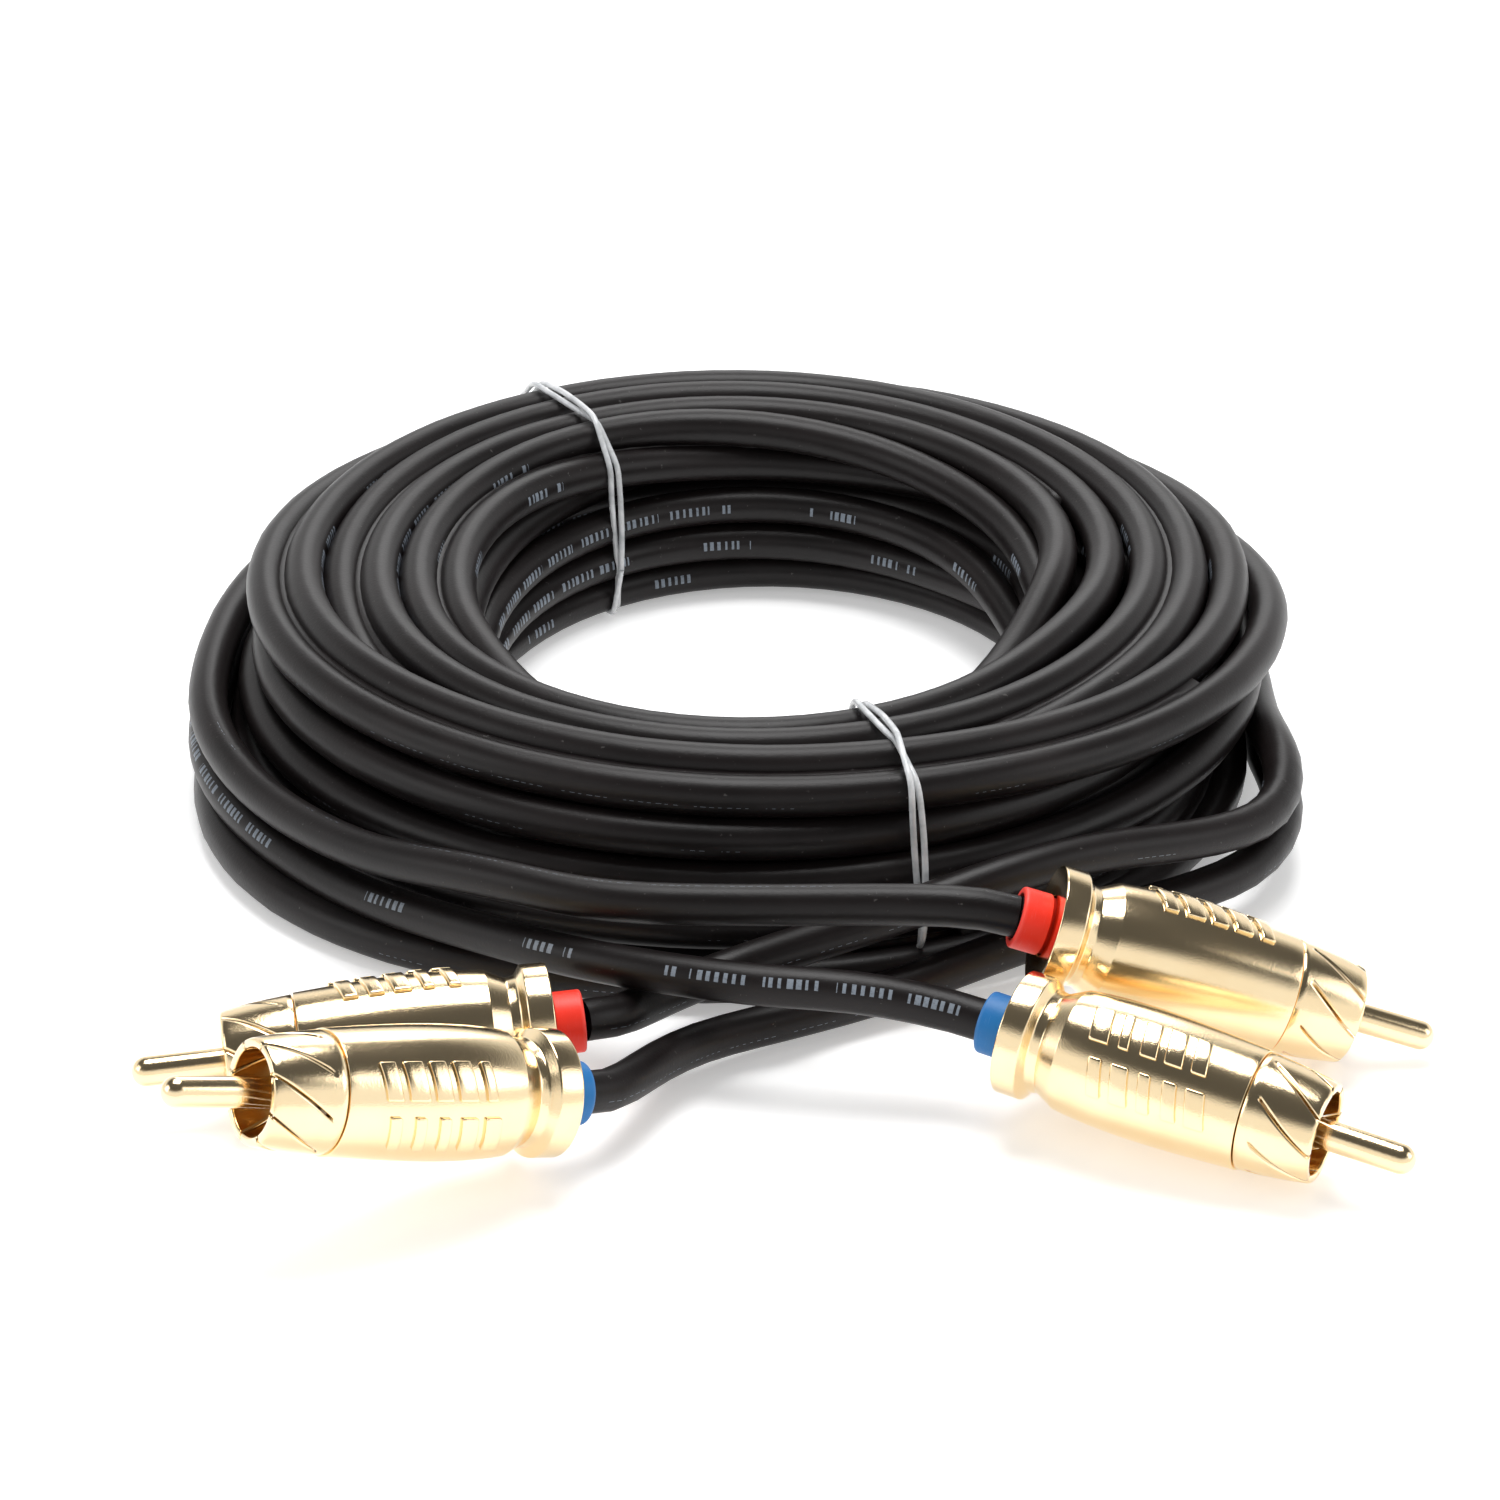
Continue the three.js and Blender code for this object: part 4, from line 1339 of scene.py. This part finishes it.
def sleeve_mesh(name, matrix):
    """The ground sleeve: a turned tail, and a nose whose slanted slits leave eight springy fingers."""
    outer = [(TAIL_RADIUS, TAIL_REAR), (TAIL_RADIUS, BARREL_FRONT + 0.1),
             (NOSE_RADIUS - 0.1, BARREL_FRONT + 0.1), (NOSE_RADIUS, BARREL_FRONT + 0.2)]
    slit_rear = RIM - SLIT_LENGTH
    outer += [(nose_radius(s), s) for s in np.linspace(BARREL_FRONT + 0.8, slit_rear, 3)]
    tail_rows = len(outer)
    outer += [(nose_radius(s), s) for s in np.linspace(slit_rear, RIM - 0.35, 13)[1:]]
    outer += [(RIM_RADIUS - 0.08, RIM - 0.12), (RIM_RADIUS - 0.22, RIM)]
    inner = [(BORE_RADIUS + 0.15, RIM), (BORE_RADIUS, RIM - 0.15)]
    inner += [(BORE_RADIUS, station) for _, station in outer[-3:tail_rows - 2:-1]]
    inner += [(BORE_RADIUS, BARREL_FRONT - 2), (BORE_RADIUS, TAIL_REAR)]
    profile = outer + inner
    rows = len(profile)
    finger_steps = 14
    half_slit = math.asin(SLIT_WIDTH / 2 / NOSE_MIDDLE_RADIUS)
    columns = []
    for finger in range(SLIT_COUNT):
        start = 2 * math.pi * finger / SLIT_COUNT + half_slit
        end = 2 * math.pi * (finger + 1) / SLIT_COUNT - half_slit
        columns += list(np.linspace(start, end, finger_steps + 1))
    vertices, lathe = [], []
    for turn in columns:
        for radius, station in profile:
            slant = math.radians(SLIT_TURN) * max(-1.0, (station - RIM) / SLIT_LENGTH)
            angle = turn + slant
            vertices.append(turned_point(matrix, radius, station, angle))
            lathe.append((angle, station, radius))
    faces = []
    total = len(columns)
    slit_first = tail_rows - 1
    slit_last = rows - 3
    for j in range(total):
        k = (j + 1) % total
        gap = (j + 1) % (finger_steps + 1) == 0
        for i in range(rows):
            n = (i + 1) % rows
            in_slit = slit_first <= i < slit_last
            if gap and in_slit:
                continue
            faces.append((j * rows + i, k * rows + i, k * rows + n, j * rows + n))
    pairs = []
    low, high = slit_first, slit_last
    while low < high:
        pairs.append((low, high))
        low, high = low + 1, high - 1
    for j in range(total):
        if (j + 1) % (finger_steps + 1) and j % (finger_steps + 1):
            continue
        for (a, b), (c, d) in zip(pairs, pairs[1:]):
            faces.append((j * rows + a, j * rows + c, j * rows + d, j * rows + b))
    for j in range(finger_steps, total, finger_steps + 1):
        k = (j + 1) % total
        a, b = pairs[0]
        faces.append((j * rows + a, k * rows + a, k * rows + b, j * rows + b))
    piece = mesh_object(name, vertices, faces, "gold", ("lathe", lathe))
    tidy_mesh(piece)
    return piece


class CABLE_OT_sleeves(bpy.types.Operator):
    """Make the slit ground sleeves of the plugs"""

    bl_idname = "audio_cable.sleeves"
    bl_label = "Ground sleeves"

    def execute(self, context):
        for name, plug in PLUGS.items():
            piece = sleeve_mesh(f"{name}_slit_sleeve", plug_matrix(plug))
            dress(piece, [f"{name}_ground_sleeve"])
        return {"FINISHED"}


class CABLE_OT_pins(bpy.types.Operator):
    """Make the round-nosed centre pins of the plugs"""

    bl_idname = "audio_cable.pins"
    bl_label = "Centre pins"

    def execute(self, context):
        nose = [
            (PIN_RADIUS * math.cos(a), TIP - PIN_RADIUS + PIN_RADIUS * math.sin(a))
            for a in np.linspace(0, math.pi / 2 - 0.02, 12)
        ]
        profile = [(0, PIN_REAR + 3.5), (1, PIN_REAR + 3.5), (1, PIN_REAR), (PIN_RADIUS, PIN_REAR),
                   (PIN_RADIUS, RIM), *nose, (0, TIP)]
        for name, plug in PLUGS.items():
            piece = turned_mesh(f"{name}_round_pin", profile, plug_matrix(plug), "gold", 48, closed=False)
            dress(piece, [f"{name}_centre_pin"])
        return {"FINISHED"}


class CABLE_OT_rings(bpy.types.Operator):
    """Make the red and blue colour rings at the rear of the plugs"""

    bl_idname = "audio_cable.rings"
    bl_label = "Colour rings"

    def execute(self, context):
        corners = [
            (RING_BORE_RADIUS, 0, 0.1),
            (RING_RADIUS, 0, 0.45),
            (RING_RADIUS, FLANGE_REAR - 0.3, 0.1),
            (RING_SLEEVE_RADIUS, FLANGE_REAR - 0.3, 0),
            (RING_SLEEVE_RADIUS, FLANGE_REAR + 5.6, 0),
            (RING_BORE_RADIUS, FLANGE_REAR + 5.6, 0),
        ]
        profile = fillet(corners)
        for name, plug in PLUGS.items():
            piece = turned_mesh(f"{name}_moulded_ring", profile, plug_matrix(plug), plug["colour"], 64)
            dress(piece, [f"{name}_colour_ring"])
        return {"FINISHED"}


class CABLE_OT_inner_pieces(bpy.types.Operator):
    """Finish the inner pieces of the plugs that the frame already holds"""

    bl_idname = "audio_cable.inner_pieces"
    bl_label = "Inner pieces"

    def execute(self, context):
        finishes = {"insulator": "insulator", "ground_lug": "copper", "stripped_end": "plain jacket"}
        for plug in PLUGS:
            for part, finish in finishes.items():
                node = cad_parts[f"{plug}_{part}"]
                for slot in node.material_slots:
                    slot.material = material(finish)
        return {"FINISHED"}


class CABLE_OT_stage(bpy.types.Operator):
    """Make the pale floor, the lamps and the white surroundings"""

    bl_idname = "audio_cable.stage"
    bl_label = "Stage"

    def execute(self, context):
        stage = setting("stage_settings")
        context.scene.view_settings.view_transform = "Standard"
        size = 3
        corners = [(-size, -size, 0), (size, -size, 0), (size, size, 0), (-size, size, 0)]
        floor = mesh_object("floor", corners, [(0, 1, 2, 3)], "floor")
        floor.location.z = -0.4 * MM
        make_world(context.scene, stage)
        target = COIL_CENTRE + Vector((0, -20 * MM, 10 * MM))
        add_lamp("key", target, (0, 0.14, 0.6), 0.36, stage.key_power)
        add_lamp("back", target, (0.05, 0.75, 0.5), 0.42, stage.key_power * 0.4)
        add_lamp("left", target, (-0.7, -0.2, 0.4), 0.4, stage.key_power * 0.25)
        add_lamp("right", target, (0.7, -0.2, 0.4), 0.4, stage.key_power * 0.25)
        return {"FINISHED"}


def floor_material():
    """White floor: plain white to the camera, except where the object's shadow falls."""
    stage = setting("stage_settings")
    shader = Shader("floor", roughness=0.6, specular_ior_level=0.2, emission_strength=stage.floor_glow)
    shader.paint(base_color=colour(*stage.floor_colour), emission_color=colour(*stage.floor_colour))
    return shader.material


def make_world(scene, stage):
    """Pale surroundings: white to the camera, and in reflections white at eye level and darker overhead."""
    world = bpy.data.worlds.new("surround")
    world.use_nodes = True
    scene.world = world
    tree = world.node_tree
    nodes = Nodes(tree)
    background = tree.nodes["Background"]
    background.inputs["Color"].default_value = colour(1, 1, 1)
    rays = nodes.node("ShaderNodeLightPath").outputs
    direction = nodes.node("ShaderNodeTexCoord").outputs["Generated"]
    rise = Value(nodes, nodes.node("ShaderNodeSeparateXYZ", {}, [direction]).outputs["Z"])
    seen = Value(nodes, rays["Is Camera Ray"]).math("MAXIMUM", Value(nodes, rays["Is Camera Ray"]),
                                                    Value(nodes, rays["Is Transmission Ray"]))
    mirrored = Value(nodes, rays["Is Glossy Ray"])
    dim = rise.ramp(stage.dim_from, stage.dim_to)
    reflected = 1 - dim * (1 - stage.overhead)
    light = mirrored * reflected + (1 - mirrored) * stage.ambient
    nodes.feed(background.inputs["Strength"], seen + (1 - seen) * light)


def add_lamp(name, target, offset, size, power):
    """A square area lamp that points at the target."""
    data = bpy.data.lights.new(name, "AREA")
    data.size = size
    data.energy = power
    lamp = new_object(name, data)
    lamp.location = target + Vector(offset)
    lamp.rotation_euler = Vector(offset).to_track_quat("Z", "Y").to_euler()


OPERATORS = [
    CABLE_OT_camera,
    CABLE_OT_strands,
    CABLE_OT_web,
    CABLE_OT_ties,
    CABLE_OT_shells,
    CABLE_OT_motif,
    CABLE_OT_sleeves,
    CABLE_OT_pins,
    CABLE_OT_rings,
    CABLE_OT_inner_pieces,
    CABLE_OT_stage,
]


class CABLE_PT_panel(bpy.types.Panel):
    """The steps that make the cable, in order"""

    bl_idname = "CABLE_PT_panel"
    bl_label = "Audio cable"
    bl_space_type = "VIEW_3D"
    bl_region_type = "UI"
    bl_category = "Audio cable"

    def draw(self, context):
        for operator in OPERATORS:
            self.layout.operator(operator.bl_idname)


SETTINGS = {"cable_settings": CableSettings, "plug_settings": PlugSettings, "stage_settings": StageSettings}


def register():
    for cls in [*SETTINGS.values(), *OPERATORS, CABLE_PT_panel]:
        bpy.utils.register_class(cls)
    for name, cls in SETTINGS.items():
        setattr(bpy.types.Scene, name, PointerProperty(type=cls))


def unregister():
    for name in SETTINGS:
        delattr(bpy.types.Scene, name)
    for cls in reversed([*SETTINGS.values(), *OPERATORS, CABLE_PT_panel]):
        bpy.utils.unregister_class(cls)


def declare_cords():
    """Reads the cable settings and does nothing with them."""
    cable = setting("cable_settings")


def main():
    register()
    for operator in OPERATORS:
        group, name = operator.bl_idname.split(".")
        getattr(getattr(bpy.ops, group), name)()
    declare_cords()


if __name__ == "__main__":
    main()
